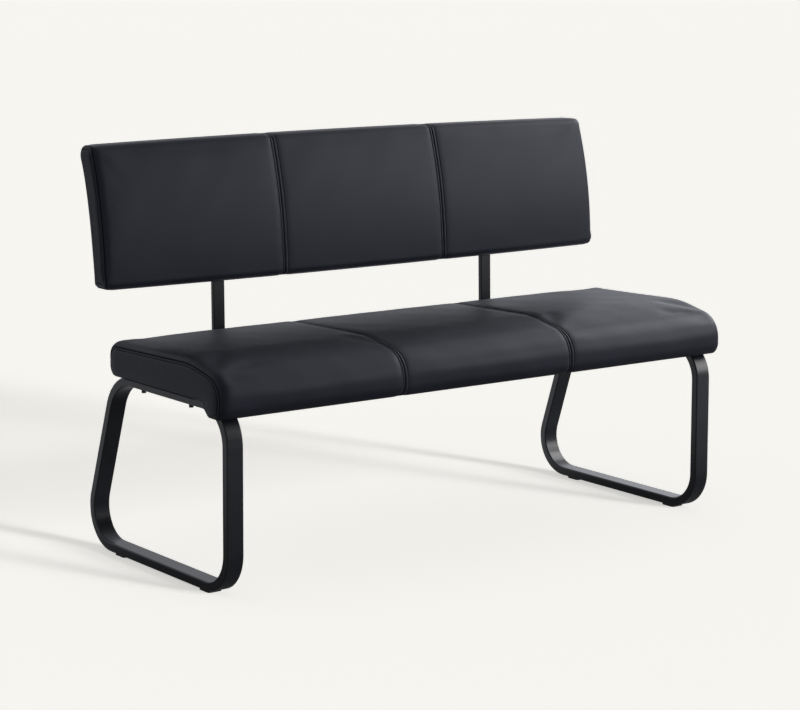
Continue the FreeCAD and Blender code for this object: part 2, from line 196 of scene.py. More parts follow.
@dataclass(frozen=True)
class RoundedPath:
    """A drawn line of straight runs, with an arc at each inner corner.

    Attributes:
        corners: The runs' corners, in metres.
        radii: The arc's radius at each inner corner.
    """

    corners: tuple[tuple[float, float], ...]
    radii: tuple[float, ...]

    def trace(self) -> Array:
        """Dense points on the line.

        At a corner the arc touches both runs at r tan(turn / 2) from it, and its centre stands r
        from both.

        Returns:
            The points, one row each.
        """
        points = np.asarray(self.corners, float)
        runs = unit(np.diff(points, axis=0))
        before, after, radius = runs[:-1], runs[1:], np.asarray(self.radii)
        cross = before[:, 0] * after[:, 1] - before[:, 1] * after[:, 0]
        turn = np.arctan2(cross, (before * after).sum(axis=1))
        begin = points[1:-1] - before * (radius * np.tan(np.abs(turn) / 2.0))[:, None]
        side = np.stack([-before[:, 1], before[:, 0]], axis=1) * np.sign(turn)[:, None]
        centre = begin + side * radius[:, None]
        first = np.arctan2(*(begin - centre)[:, ::-1].T)
        angle = first[:, None] + turn[:, None] * np.linspace(0.0, 1.0, ARC_POINTS)[None, :]
        circle = np.stack([np.cos(angle), np.sin(angle)], axis=2)
        arcs = centre[:, None, :] + radius[:, None, None] * circle
        return np.vstack([points[:1], arcs.reshape(-1, 2), points[-1:]])


@dataclass(frozen=True)
class Section:
    """A cushion's closed outline across its length: a shown chain, then a hidden one walked back.

    Attributes:
        at: Points (Y, Z) round the outline.
        out: Outward unit normals (Y, Z).
        pairs: Steps in each chain; point k of the shown chain faces point k of the hidden one.
    """

    at: Array
    out: Array
    pairs: int

    @staticmethod
    def of_chains(
        shown: Array, hidden: Array, shown_places: Array, hidden_places: Array
    ) -> "Section":
        """Joins two chains with the same two ends into one outline.

        Args:
            shown: Dense points of the chain that shows.
            hidden: Dense points of the chain that faces it, from the same end.
            shown_places: Lengths along shown to keep.
            hidden_places: Lengths along hidden to keep, as many.

        Returns:
            The outline, with normals that point out of it.
        """
        a, b = at_lengths(shown, shown_places), at_lengths(hidden, hidden_places)
        loop = np.vstack([a, b[-2:0:-1]])
        following = np.roll(loop, -1, axis=0)
        along = following - np.roll(loop, 1, axis=0)
        area = (loop[:, 0] * following[:, 1] - following[:, 0] * loop[:, 1]).sum()
        out = np.stack([along[:, 1], -along[:, 0]], axis=1) * np.sign(area)
        return Section(loop, unit(out), len(shown_places) - 1)

    def spread(self, shown: Array, hidden: Array) -> Array:
        """Puts a value for each shown and each hidden point into one array round the outline."""
        return np.concatenate([shown, hidden[-2:0:-1]])

    def facing(self, values: Array) -> Array:
        """The hidden chain's share of values round the outline, from the shown chain's start."""
        n = self.pairs
        return np.concatenate([values[:1], values[:n:-1], values[n : n + 1]])


@dataclass
class Patchwork:
    """Grids and shapes gathered into one mesh, with touching edges merged.

    Attributes:
        name: Name of the piece.
        points: The points so far.
        faces: The faces so far.
        sewn: How far each point lies in a seam's gap, 0 to 1, which sets its painted shade, for
            grids that have seams.
        count: Number of points so far.
    """

    name: str
    points: list[Array] = field(default_factory=list)
    faces: list[Array] = field(default_factory=list)
    sewn: list[Array] = field(default_factory=list)
    count: int = 0

    def shape(self, points: Array, faces: Array) -> None:
        """Adds ready points and four-cornered faces.

        Args:
            points: The points, one row each.
            faces: The faces, by point number.
        """
        self.faces.append(faces + self.count)
        self.points.append(points)
        self.count += len(points)

    def grid(
        self, grid: Array, closed: bool = False, flip: bool = False, sewn: Array | None = None
    ) -> None:
        """Adds a grid of points as four-cornered faces.

        Args:
            grid: Points, rows by columns by 3.
            closed: Whether the last column joins the first.
            flip: Whether the faces turn the other way.
            sewn: How far each point lies in a seam's gap, which sets its painted shade.
        """
        if sewn is not None:
            self.sewn.append(sewn.reshape(-1))
        faces = quads(*grid.shape[:2], closed)
        self.shape(grid.reshape(-1, 3), faces[:, ::-1] if flip else faces)

    def copies(self, points: Array, faces: Array) -> None:
        """Adds copies of one shape, each with its own points.

        Args:
            points: Points, copies by points of a copy by 3.
            faces: The faces of one copy, by point number.
        """
        first = (np.arange(len(points)) * points.shape[1])[:, None, None]
        self.shape(points.reshape(-1, 3), (faces[None] + first).reshape(-1, 4))

    def mesh(self) -> bpy.types.Mesh:
        """Makes a mesh of what is gathered, with nothing merged.

        Returns:
            The new mesh.
        """
        mesh = bpy.data.meshes.new(self.name)
        mesh.from_pydata(np.vstack(self.points), [], np.vstack(self.faces).tolist())
        return mesh

    def made(self, merge: float = 1e-6) -> bpy.types.Object:
        """Makes the object, smooth shaded and with its faces outward.

        Args:
            merge: Points nearer than this become one, in metres.

        Returns:
            The new object, linked into the scene.
        """
        mesh = self.mesh()
        # Each point's share of painted seam shade, as a mesh attribute.
        if self.sewn:
            mark = mesh.attributes.new(SEAM_SHADE, "FLOAT", "POINT")
            mark.data.foreach_set("value", np.concatenate(self.sewn))
        work = bmesh.new()
        work.from_mesh(mesh)
        bmesh.ops.remove_doubles(work, verts=work.verts, dist=merge)
        bmesh.ops.dissolve_degenerate(work, edges=work.edges, dist=merge)
        if work.calc_volume(signed=True) < 0.0:
            bmesh.ops.reverse_faces(work, faces=work.faces)
        work.to_mesh(mesh)
        work.free()
        mesh.polygons.foreach_set("use_smooth", np.ones(len(mesh.polygons), bool))
        mesh.update()
        return linked(self.name, mesh)


class Wire:
    """A shader socket for Python arithmetic: each operation on it adds one Math node."""

    def __init__(self, shader: "Shader", socket: bpy.types.NodeSocket) -> None:
        """Keeps the socket and the node tree it belongs to."""
        self.shader, self.socket = shader, socket

    def math(self, operation: str, *values: "Wire | float") -> "Wire":
        """Adds a Math node that works on the given values in order."""
        return self.shader.node("ShaderNodeMath", {"operation": operation}, dict(enumerate(values)))

    def __add__(self, other: "Wire | float") -> "Wire":
        """This value plus another."""
        return self.math("ADD", self, other)

    def __radd__(self, other: float) -> "Wire":
        """A number plus this value."""
        return self.math("ADD", other, self)

    def __sub__(self, other: "Wire | float") -> "Wire":
        """This value less another."""
        return self.math("SUBTRACT", self, other)

    def __rsub__(self, other: float) -> "Wire":
        """A number less this value."""
        return self.math("SUBTRACT", other, self)

    def __mul__(self, other: "Wire | float") -> "Wire":
        """This value times another."""
        return self.math("MULTIPLY", self, other)

    def __rmul__(self, other: float) -> "Wire":
        """A number times this value."""
        return self.math("MULTIPLY", other, self)

    def most(self, other: "Wire | float") -> "Wire":
        """The larger of this value and another."""
        return self.math("MAXIMUM", self, other)

    def step(self, low: float, high: float) -> "Wire":
        """A smooth step from 0 at low to 1 at high."""
        ends = {"Value": self, "From Min": low, "From Max": high}
        return self.shader.node("ShaderNodeMapRange", {"interpolation_type": "SMOOTHSTEP"}, ends)

    def outputs(self, *names: str) -> tuple["Wire", ...]:
        """Other outputs of the node that this value comes from."""
        return tuple(Wire(self.shader, self.socket.node.outputs[name]) for name in names)


class Shader:
    """A node tree that is written node by node."""

    def __init__(self, tree: bpy.types.NodeTree) -> None:
        """Starts from an empty tree."""
        self.tree = tree
        tree.nodes.clear()

    def node(
        self,
        kind: str,
        settings: dict[str, Any] | None = None,
        sockets: dict[str | int, Any] | None = None,
        out: str | int = 0,
    ) -> Wire:
        """Adds one node.

        Args:
            kind: Blender's type name of the node.
            settings: Properties of the node, set first.
            sockets: Values or links for inputs, by name or number.
            out: The output to hand back.

        Returns:
            The chosen output, or the first input of a node that has no outputs.
        """
        made = self.tree.nodes.new(kind)
        for key, value in (settings or {}).items():
            setattr(made, key, value)
        for key, value in (sockets or {}).items():
            if isinstance(value, Wire):
                self.tree.links.new(value.socket, made.inputs[key])
            else:
                made.inputs[key].default_value = value
        return Wire(self, made.outputs[out] if len(made.outputs) else made.inputs[0])

    def place(self) -> Wire:
        """Object coordinates, which are the part's own frame."""
        return self.node("ShaderNodeTexCoord", out="Object")

    def rays(self) -> tuple[Wire, Wire]:
        """Tells apart the rays that see a place.

        Returns:
            1 for rays from the camera, straight or through glass, and 1 for rays off a glossy
            face; each else 0.
        """
        names = (f"Is {kind} Ray" for kind in ("Camera", "Glossy", "Transmission"))
        camera, glossy, passed = self.node("ShaderNodeLightPath").outputs(*names)
        return camera.most(passed), glossy

    def axes(self, vector: Wire) -> tuple[Wire, ...]:
        """The X, Y and Z of a vector."""
        return self.node("ShaderNodeSeparateXYZ", {}, {0: vector}).outputs(*"XYZ")

    def noise(self, at: Wire, scale: float, detail: float = 2.0, rough: float = 0.5) -> Wire:
        """Soft noise from 0 to 1 with features about 1 / scale metres wide."""
        sockets = {"Vector": at, "Scale": scale, "Detail": detail, "Roughness": rough}
        return self.node("ShaderNodeTexNoise", {}, sockets, "Fac")

    def blend(self, factor: Wire, low: Colour, high: Colour) -> Wire:
        """A colour from low to high by factor."""
        sockets = {0: factor, 6: (*low, 1.0), 7: (*high, 1.0)}
        return self.node("ShaderNodeMix", {"data_type": "RGBA"}, sockets, 2)

    def bump(self, height: Wire, depth: float, strength: float, normal: Wire | None = None) -> Wire:
        """A normal that shows a height.

        Args:
            height: The height, 0 to 1.
            depth: Metres at height 1.
            strength: How far the normal follows it, 0 to 1.
            normal: The normal that it starts from, if not the face's own.

        Returns:
            The normal.
        """
        sockets: dict[str | int, Any] = {"Height": height, "Distance": depth, "Strength": strength}
        if normal is not None:
            sockets["Normal"] = normal
        return self.node("ShaderNodeBump", {}, sockets, "Normal")

    def principled(self, **sockets: Any) -> Wire:
        """A Principled shader; socket names are written with _ for each space."""
        named = {name.replace("_", " "): value for name, value in sockets.items()}
        return self.node("ShaderNodeBsdfPrincipled", {}, named, "BSDF")


@dataclass(frozen=True)
class Finish:
    """A finish, which makes its material; each kind of finish has its own surface.

    Attributes:
        name: Material name.
    """

    name: str

    def surface(self, shader: Shader, at: Wire) -> Wire:
        """Writes the finish's shader.

        Args:
            shader: Writer of the material's tree.
            at: Place on the part.

        Returns:
            The shader for the material's output.
        """
        raise NotImplementedError

    def material(self) -> bpy.types.Material:
        """Makes the material.

        Returns:
            The new material.
        """
        material = bpy.data.materials.new(self.name)
        material.use_nodes = True
        shader = Shader(material.node_tree)
        surface = self.surface(shader, shader.place())
        shader.node("ShaderNodeOutputMaterial", {}, {"Surface": surface})
        return material


@dataclass(frozen=True)
class Leather(Finish):
    """Fine-grained coated leather with a satin face.

    Attributes:
        face: Colour of the face.
        worn: Colour where the face is a little lighter.
        pebble: Size of a grain pebble, in metres.
        gloss: Mean roughness.
        shine: Level of the face's gloss.
        tint: Colour of that gloss.
        gap: Colour of the painted shade in the seams' joints and stitch rows.
    """

    face: Colour
    worn: Colour
    pebble: float
    gloss: float
    shine: float = 0.45
    tint: Colour = (0.85, 0.87, 1.0)
    gap: Colour = (0.0025, 0.0027, 0.0033)

    def surface(self, shader: Shader, at: Wire) -> Wire:
        """Grain is the distance to the edge of small cells, broken by finer noise.

        The tone drifts slowly over the hide. Painted shade, a matt dark shader, goes into the
        seams' joints and stitch rows by the cover's own mark of where it is sewn.

        Args:
            shader: Writer of the material's tree.
            at: Place on the part.

        Returns:
            The shader of hide and painted seam shade.
        """
        drift = shader.noise(at, scale=7.0, detail=3.0)
        mottle = shader.noise(at, scale=90.0, detail=4.0, rough=0.6)
        cells = shader.node(
            "ShaderNodeTexVoronoi",
            {"feature": "DISTANCE_TO_EDGE"},
            {"Vector": at, "Scale": 1.0 / self.pebble, "Randomness": 0.9},
            "Distance",
        )
        crest = cells.step(0.02, 0.22)
        pores = shader.noise(at, scale=3.2 / self.pebble, detail=2.0)
        tone = drift.step(0.3, 0.7) * 0.55 + mottle.step(0.35, 0.65) * 0.25 + crest * 0.2
        grain = shader.bump(crest * 0.7 + pores * 0.3, depth=0.00004, strength=0.35)
        hide = shader.principled(
            Base_Color=shader.blend(tone, self.face, self.worn),
            Roughness=self.gloss + (mottle - 0.5) * 0.12 + (drift - 0.5) * 0.12 - crest * 0.03,
            Normal=shader.bump(mottle, depth=0.0004, strength=0.12, normal=grain),
            Specular_IOR_Level=self.shine,
            Specular_Tint=(*self.tint, 1.0),
        )
        # Painted shade in the seams' joints and stitch rows: a matt near-black shader.
        gap = shader.principled(
            Base_Color=(*self.gap, 1.0), Roughness=0.9, Specular_IOR_Level=0.1
        )
        # Where the cover takes the painted seam shade, 0 to 1.
        sewn = shader.node("ShaderNodeAttribute", {"attribute_name": SEAM_SHADE}, out="Fac")
        return shader.node("ShaderNodeMixShader", {}, {0: sewn, 1: hide, 2: gap})


@dataclass(frozen=True)
class Thread(Finish):
    """Waxed sewing thread, twisted.

    Attributes:
        dark: Colour in the twist.
        light: Colour on the twist.
    """

    dark: Colour
    light: Colour

    def surface(self, shader: Shader, at: Wire) -> Wire:
        """The twist is narrow slanted bands.

        Args:
            shader: Writer of the material's tree.
            at: Place on the part.

        Returns:
            The shader.
        """
        twist = shader.node(
            "ShaderNodeTexWave",
            {"bands_direction": "DIAGONAL"},
            {"Vector": at, "Scale": 320.0, "Distortion": 1.0, "Detail": 1.0},
            "Fac",
        )
        return shader.principled(
            Base_Color=shader.blend(twist, self.dark, self.light),
            Roughness=0.5 + twist * 0.1,
            Normal=shader.bump(twist, depth=0.0001, strength=0.5),
        )


@dataclass(frozen=True)
class PowderCoat(Finish):
    """Fine satin powder coat on steel tube.

    Attributes:
        coat: Colour of the coat.
        dusty: Colour where the coat is a little lighter.
        gloss: Mean roughness.
        peel: Size of the coat's fine waves, in metres.
        shine: Level of its gloss.
    """

    coat: Colour
    dusty: Colour
    gloss: float
    peel: float
    shine: float = 0.70

    def surface(self, shader: Shader, at: Wire) -> Wire:
        """Fine peel and specks in the bump, slow drift in tone and gloss.

        Args:
            shader: Writer of the material's tree.
            at: Place on the part.

        Returns:
            The shader.
        """
        drift = shader.noise(at, scale=11.0, detail=3.0)
        peel = shader.noise(at, scale=1.0 / self.peel, detail=3.0, rough=0.6)
        specks = shader.noise(at, scale=4.0 / self.peel, detail=1.0)
        tone = drift.step(0.3, 0.7) * 0.7 + specks * 0.3
        return shader.principled(
            Base_Color=shader.blend(tone, self.coat, self.dusty),
            Roughness=self.gloss + (drift - 0.5) * 0.06 + (peel - 0.5) * 0.05,
            Normal=shader.bump(peel * 0.75 + specks * 0.25, depth=0.00004, strength=0.12),
            Specular_IOR_Level=self.shine,
        )


@dataclass(frozen=True)
class Moulded(Finish):
    """Moulded black plastic with a fine spark texture.

    Attributes:
        body: Colour of the plastic.
        scuffed: Colour of its scuffs.
    """

    body: Colour
    scuffed: Colour

    def surface(self, shader: Shader, at: Wire) -> Wire:
        """Spark texture in the bump, faint scuffs in the colour.

        Args:
            shader: Writer of the material's tree.
            at: Place on the part.

        Returns:
            The shader.
        """
        spark = shader.noise(at, scale=1500.0, detail=2.0, rough=0.7)
        scuff = shader.noise(at, scale=120.0, detail=5.0, rough=0.7)
        return shader.principled(
            Base_Color=shader.blend(scuff.step(0.55, 0.75), self.body, self.scuffed),
            Roughness=0.5 + scuff * 0.15,
            Normal=shader.bump(spark, depth=0.00006, strength=0.5),
        )


@dataclass(frozen=True)
class Plated(Finish):
    """Turned and plated metal, for bolts, washers and insert nuts.

    Attributes:
        bright: Colour of the clean metal.
        dull: Colour of the tarnish.
        gloss: Mean roughness.
    """

    bright: Colour
    dull: Colour
    gloss: float

    def surface(self, shader: Shader, at: Wire) -> Wire:
        """Tarnish spreads in patches, which are also rougher.

        Args:
            shader: Writer of the material's tree.
            at: Place on the part.

        Returns:
            The shader.
        """
        patch = shader.noise(at, scale=260.0, detail=4.0, rough=0.65).step(0.4, 0.7)
        fine = shader.noise(at, scale=2400.0, detail=2.0)
        return shader.principled(
            Base_Color=shader.blend(patch, self.bright, self.dull),
            Metallic=1.0,
            Roughness=self.gloss + patch * 0.2,
            Normal=shader.bump(fine, depth=0.00003, strength=0.4),
        )


@dataclass(frozen=True)
class Plywood(Finish):
    """Plywood: long grain on the faces, plies at the edges.

    Attributes:
        early: Colour of the pale grain.
        late: Colour of the dark grain.
    """

    early: Colour
    late: Colour

    def surface(self, shader: Shader, at: Wire) -> Wire:
        """Grain is noise drawn out along X; plies are bands across the thickness.

        Args:
            shader: Writer of the material's tree.
            at: Place on the part.

        Returns:
            The shader.
        """
        drawn = shader.node("ShaderNodeMapping", {}, {"Vector": at, "Scale": (0.06, 1.0, 1.0)})
        grain = shader.noise(drawn, scale=220.0, detail=5.0, rough=0.6)
        plies = shader.node(
            "ShaderNodeTexWave",
            {"bands_direction": "Z"},
            {"Vector": at, "Scale": 110.0, "Distortion": 0.3},
            "Fac",
        )
        tone = grain.step(0.35, 0.7) * 0.7 + plies * 0.3
        return shader.principled(
            Base_Color=shader.blend(tone, self.early, self.late),
            Roughness=0.6 + grain * 0.15,
            Normal=shader.bump(grain, depth=0.0002, strength=0.4),
        )


@dataclass(frozen=True)
class LiningCloth(Finish):
    """Thin non-woven lining cloth, point bonded.

    Attributes:
        fibre: Colour of the fibres.
        bond: Colour of the bonded points.
        pitch: Spacing of the bonded points, in metres.
    """

    fibre: Colour
    bond: Colour
    pitch: float

    def surface(self, shader: Shader, at: Wire) -> Wire:
        """Bonded points are cells of an even grid; fibres are fine noise between them.

        Args:
            shader: Writer of the material's tree.
            at: Place on the part.

        Returns:
            The shader.
        """
        even = {"Vector": at, "Scale": 1.0 / self.pitch, "Randomness": 0.0}
        points = shader.node("ShaderNodeTexVoronoi", {}, even, "Distance")
        bonded = 1.0 - points.step(0.22, 0.34)
        fibres = shader.noise(at, scale=1700.0, detail=3.0, rough=0.7)
        return shader.principled(
            Base_Color=shader.blend(bonded * 0.7 + fibres * 0.3, self.fibre, self.bond),
            Roughness=0.8 + fibres * 0.15,
            Normal=shader.bump(fibres * 0.5 - bonded * 0.5, depth=0.0002, strength=0.6),
        )


@dataclass(frozen=True)
class Seam:
    """A seam whose turned-in edges are sewn down in rows beside the joint.

    Attributes:
        rows: Where the rows of stitches run, as distances across the joint.
        groove: Depth of the joint between the two panels.
        groove_width: Half width of that joint.
        groove_share: Share of that width that takes the painted shade.
        groove_shade: How dark the painted shade is there, 0 to 1.
        row_dip: Depth that the stitches pull in.
        row_width: Half width of that dip.
        row_share: Share of that width that takes the painted shade.
        row_shade: How dark the painted shade is there, 0 to 1.
        pull: Depth that the whole seam pulls the pad in.
        pull_flat: How far that pull stays full.
        pull_reach: How far beyond that it is felt.
    """

    rows: tuple[float, ...]
    groove: float = 0.0024
    groove_width: float = 0.0014
    groove_share: float = 0.75
    groove_shade: float = 0.95
    row_dip: float = 0.0017
    row_width: float = 0.0013
    row_share: float = 0.7
    row_shade: float = 0.7
    pull: float = 0.0008
    pull_flat: float = 0.0072
    pull_reach: float = 0.012

    def height(self, across: Array) -> Array:
        """Height of the cover at a distance across the joint.

        A bell-shaped groove at the joint, a bell-shaped dip at each row and a broad pull that
        eases out, added.

        Args:
            across: Distances across the joint, in metres.

        Returns:
            The heights, below 0 where the cover is pulled in.
        """
        dips = sum(self.row_dip * bell(across - row, self.row_width) for row in self.rows)
        broad = self.pull * (1.0 - ease((np.abs(across) - self.pull_flat) / self.pull_reach))
        return -self.groove * bell(across, self.groove_width) - dips - broad

    def gap(self, across: Array) -> Array:
        """Painted shade of a place in the joint or in a row: narrower bells than the height's,
        added.

        Args:
            across: Distances across the joint, in metres.

        Returns:
            Shares from 0 to 1.
        """
        # Painted shade: narrow bells at each stitch row and at the joint.
        rows = sum(bell(across - row, self.row_share * self.row_width) for row in self.rows)
        joint = bell(across, self.groove_share * self.groove_width)
        return np.clip(joint * self.groove_shade + rows * self.row_shade, 0.0, 1.0)


@dataclass
class Row:
    """One row of stitches.

    Attributes:
        line: Points of the line that it follows.
        out: The cover's normals there.
    """

    line: Array
    out: Array


@dataclass
class Stitching:
    """Rows of thread stitches.

    Attributes:
        name: Name of the piece.
        rows: The rows to sew.
        pitch: Distance from stitch to stitch.
        length: Length of the thread that shows.
        thick: Thickness of the thread.
        proud: How far a stitch's middle stands above the cover, as a share of its thickness.
        slant: Turn of each stitch from its row, in radians.
        fullness: Power that rounds a stitch's ends off; less is fuller.
        sides: Number of rings along a stitch, and of points round each.
        reach: How far each way a row's direction is taken from.
    """

    name: str
    rows: list[Row]
    pitch: float = 0.0046
    length: float = 0.0034
    thick: float = 0.0010
    proud: float = 0.2
    slant: float = 0.07
    fullness: float = 0.6
    sides: int = 6
    reach: float = 0.001

    def stitch(self) -> tuple[Array, Array]:
        """One stitch lying along the first axis.

        A closed spindle: rings at angle a from 0 to pi stand at -cos(a) half a length along, and
        their radius is half the thread's thickness times a power of sin(a).

        Returns:
            The points, one row each, and the four-cornered faces.
        """
        round_it = np.arange(self.sides) * math.pi / (self.sides / 2.0)
        a, b = np.meshgrid(np.linspace(0.0, math.pi, self.sides), round_it, indexing="ij")
        radius = self.thick / 2.0 * np.clip(np.sin(a), 0.0, None) ** self.fullness
        along = -np.cos(a) * self.length / 2.0
        points = np.stack([along, radius * np.cos(b), radius * np.sin(b)], axis=-1)
        return points.reshape(-1, 3), quads(self.sides, self.sides, closed=True)[:, [0, 3, 2, 1]]

    def build(self) -> bpy.types.Object:
        """Sews every row.

        Each stitch is turned to its row's direction and normal and set partly into the cover.

        Returns:
            The piece of thread.
        """
        spindle, faces = self.stitch()
        work = Patchwork(self.name)
        for row in self.rows:
            run = walked(row.line)
            places = np.arange(self.pitch, run[-1] - self.pitch, self.pitch)
            at, out = taken(row.line, run, places), taken(row.out, run, places)
            before, after = (taken(row.line, run, places + s * self.reach) for s in (-1, 1))
            ahead = unit(after - before)
            out = unit(out - ahead * (ahead * out).sum(axis=1, keepdims=True))
            turned = ahead * math.cos(self.slant) + np.cross(out, ahead) * math.sin(self.slant)
            axes = np.stack([turned, np.cross(out, turned), out], axis=1)
            middle = (at + out * self.thick * self.proud)[:, None, :]
            work.copies(np.einsum("pa,nax->npx", spindle, axes) + middle, faces)
        return work.made(merge=2e-6)


@dataclass
class PadCloth:
    """The cloth simulation that blows a held cover up.

    Attributes:
        pressure: Pressure inside the cover.
        frames: How many frames it runs.
        quality: Steps in each frame.
        stiffness: Stiffness against stretch, squash and shear.
        bending: Stiffness against bending.
    """

    pressure: float = 4.0
    frames: int = 20
    quality: int = 6
    stiffness: float = 30.0
    bending: float = 5.0

    def blown_up(self, points: Array, normal: Array, pinned: Array) -> Array:
        """Blows up a held tube of cloth and gives back its points.

        Args:
            points: The tube, rows by places round by 3.
            normal: Outward normals at those points.
            pinned: How firmly each point is held, 0 to 1.

        Returns:
            The points after the last frame, in the same shape.
        """
        work = Patchwork("pad_cloth")
        work.grid(points, closed=True)
        mesh = work.mesh()
        mesh.update()
        faced = np.empty(points.size)
        mesh.vertices.foreach_get("normal", faced)
        if (faced * normal.reshape(-1)).sum() < 0.0:
            mesh.flip_normals()
        cloth = linked(work.name, mesh)
        group = cloth.vertex_groups.new(name="held")
        group.add(np.flatnonzero(pinned.reshape(-1) > 0.5).tolist(), 1.0, "REPLACE")
        modifier = cloth.modifiers.new("pad", "CLOTH")
        settings = modifier.settings
        settings.vertex_group_mass = group.name
        settings.use_pressure = True
        settings.uniform_pressure_force = self.pressure
        settings.effector_weights.gravity = 0.0
        settings.quality = self.quality
        for kind in ("tension", "compression", "shear"):
            setattr(settings, f"{kind}_stiffness", self.stiffness)
        settings.bending_stiffness = self.bending
        modifier.point_cache.frame_start, modifier.point_cache.frame_end = 1, self.frames
        scene = bpy.context.scene
        for step in range(1, self.frames + 1):
            scene.frame_set(step)
        made = cloth.evaluated_get(bpy.context.evaluated_depsgraph_get()).to_mesh()
        moved = np.empty(len(made.vertices) * 3)
        made.vertices.foreach_get("co", moved)
        bpy.data.objects.remove(cloth)
        scene.frame_set(1)
        return moved.reshape(points.shape)


@dataclass
class Cushion:
    """A long padded cushion: an outline carried along X, with rolled ends, end panels and seams.

    A point is found from c, the length walked along X over the cushion and down round its ends,
    and from its place round the outline. Within a quarter turn of an end the cover rolls over: it
    moves in by r(1 - cos a) and out along X by r sin a.

    Attributes:
        name: Name of the piece.
        half: Half of the cushion's length.
        panel_seam: Where the panels meet, from the middle.
        end_seam_back: How far before the end of the roll the end panel's seam runs.
        dome: How far an end panel bulges.
        slack: How far the cover starts inside its final face, before the pad swells it.
        swell: The most that the pad may lift the cover.
        seam: Form of the seams between panels.
        end_seam: Form of the end panels' seams, with distances that grow towards the end panel.
        pad: The simulation that swells it.
        cells: Cells of the simulated cover from the middle to a panel seam.
        take_up: From where, and to how far before the end, the cover makes up for a smaller roll.
        ripple: Height of the slow waves and of the puckers.
        pucker_reach: How far from a seam the puckers die away.
        ripple_fade: Over what length the waves fade towards an end seam.
        end_fade: How far before an end seam the swell is gone, and over what length it fades.
        dome_span: Width from which an end panel bulges fully.
        seam_span: Width from which an end panel takes its seam fully.
        nodes: The CAD nodes that it stands for.
        section: The outline round the cushion.
        roll: Radius of the rolled end at each outline point.
        panel_sewn: How far the panel seams reach, 0 to 1 at each outline point.
        end_sewn: How far the end seams reach, 0 to 1 at each outline point.
        held: How firmly the cover is held to the base, 0 to 1 at each outline point.
        along_gap: Distance round the outline from each outline point to the nearest seam along X.
    """

    name: str
    half: float
    panel_seam: float
    end_seam_back: float
    dome: float
    slack: float
    swell: float
    seam: Seam = Seam((-0.0071, 0.0071))
    end_seam: Seam = Seam((0.0072,), pull=0.0010)
    pad: PadCloth = field(default_factory=PadCloth)
    cells: int = 20
    quick_share: float = 0.8
    take_up: tuple[float, float] = (0.3, 0.045)
    ripple: float = 0.00022
    pucker_reach: float = 0.014
    ripple_fade: float = 0.03
    end_fade: tuple[float, float] = (0.002, 0.02)
    dome_span: float = 0.06
    seam_span: float = 0.03
    nodes: tuple[str, ...] = ()
    section: Section = field(init=False)
    roll: Array = field(init=False)
    panel_sewn: Array = field(init=False)
    end_sewn: Array = field(init=False)
    held: Array = field(init=False)
    along_gap: Array = field(init=False)

    @property
    def wide(self) -> float:
        """Half of the length walked from end to end, at the widest roll."""
        r = float(self.roll.max())
        return self.half - r + r * QUARTER

    def bent(self, points: Array, back: Array) -> Array:
        """Moves points that the outline alone can't place; a plain cushion leaves them."""
        return points

    def raw(self, c: Array) -> tuple[Array, Array]:
        """The cover without seams or swell.

        Args:
            c: Lengths walked along X, negative on the left.

        Returns:
            Points and outward normals, c by outline by 3.
        """
        r = self.roll[None, :]
        quarter = r * QUARTER
        side = np.where(c < 0.0, -1.0, 1.0)[:, None]
        walk = np.abs(c)[:, None]
        back = (self.wide - np.abs(c))[:, None]
        angle = np.clip((quarter - back) / r, 0.0, QUARTER)
        begin, end = self.take_up[0], self.wide - self.take_up[1]
        shift = (self.half - r + quarter - self.wide) * ease((walk - begin) / (end - begin))
        x = np.where(back < quarter, self.half - r + r * np.sin(angle), walk + shift)
        inset = r * (1.0 - np.cos(angle))
        inset = inset + self.slack * (1.0 - self.held)[None, :] * np.cos(angle)
        at, out = self.section.at[None], self.section.out[None]
        yz = at - out * inset[..., None]
        points = np.concatenate([(side * x)[..., None], yz], axis=-1)
        outward = (side * np.sin(angle))[..., None]
        normal = np.concatenate([outward, out * np.cos(angle)[..., None]], axis=-1)
        return self.bent(points, back), normal

    def swelled(self, c: Array) -> Array:
        """How far the pad lifts the cover, from a cloth simulation under pressure.

        A coarse cover, with every second outline point, is held along its seams and its base and
        blown up; the lift along the normal is capped by swell * tanh(lift / swell) and carried to
        the fine cover by cubic B-splines.

        Args:
            c: Lengths walked along X of the fine cover.

        Returns:
            The lift in metres, c by outline.
        """
        cell = self.panel_seam / self.cells
        reach = int((self.wide - self.end_seam_back) / cell)
        coarse = np.arange(-reach, reach + 1) * cell
        points, normal = (part[:, ::2] for part in self.raw(coarse))
        ringed = np.abs(np.abs(coarse) - self.panel_seam)[:, None] < 0.4 * cell
        sewn = np.where(ringed, self.panel_sewn[None, ::2], 0.0)
        pinned = np.maximum(sewn, self.held[None, ::2])
        pinned[[0, -1]] = 1.0
        lift = ((self.pad.blown_up(points, normal, pinned) - points) * normal).sum(axis=-1)
        log.info("%s: pad lifts %.1f to %.1f mm", self.name, lift.min() * 1e3, lift.max() * 1e3)
        lift = self.swell * np.tanh(lift / self.swell)
        lift[[0, -1]] = 0.0
        across = spline_weights((c[:, None] - coarse[None, :]) / cell)
        loop, turn = len(self.section.at), lift.shape[1]
        gap = np.arange(loop)[:, None] / 2.0 - np.arange(turn)[None, :]
        gap = (gap + turn / 2.0) % turn - turn / 2.0
        return across @ lift @ spline_weights(gap).T

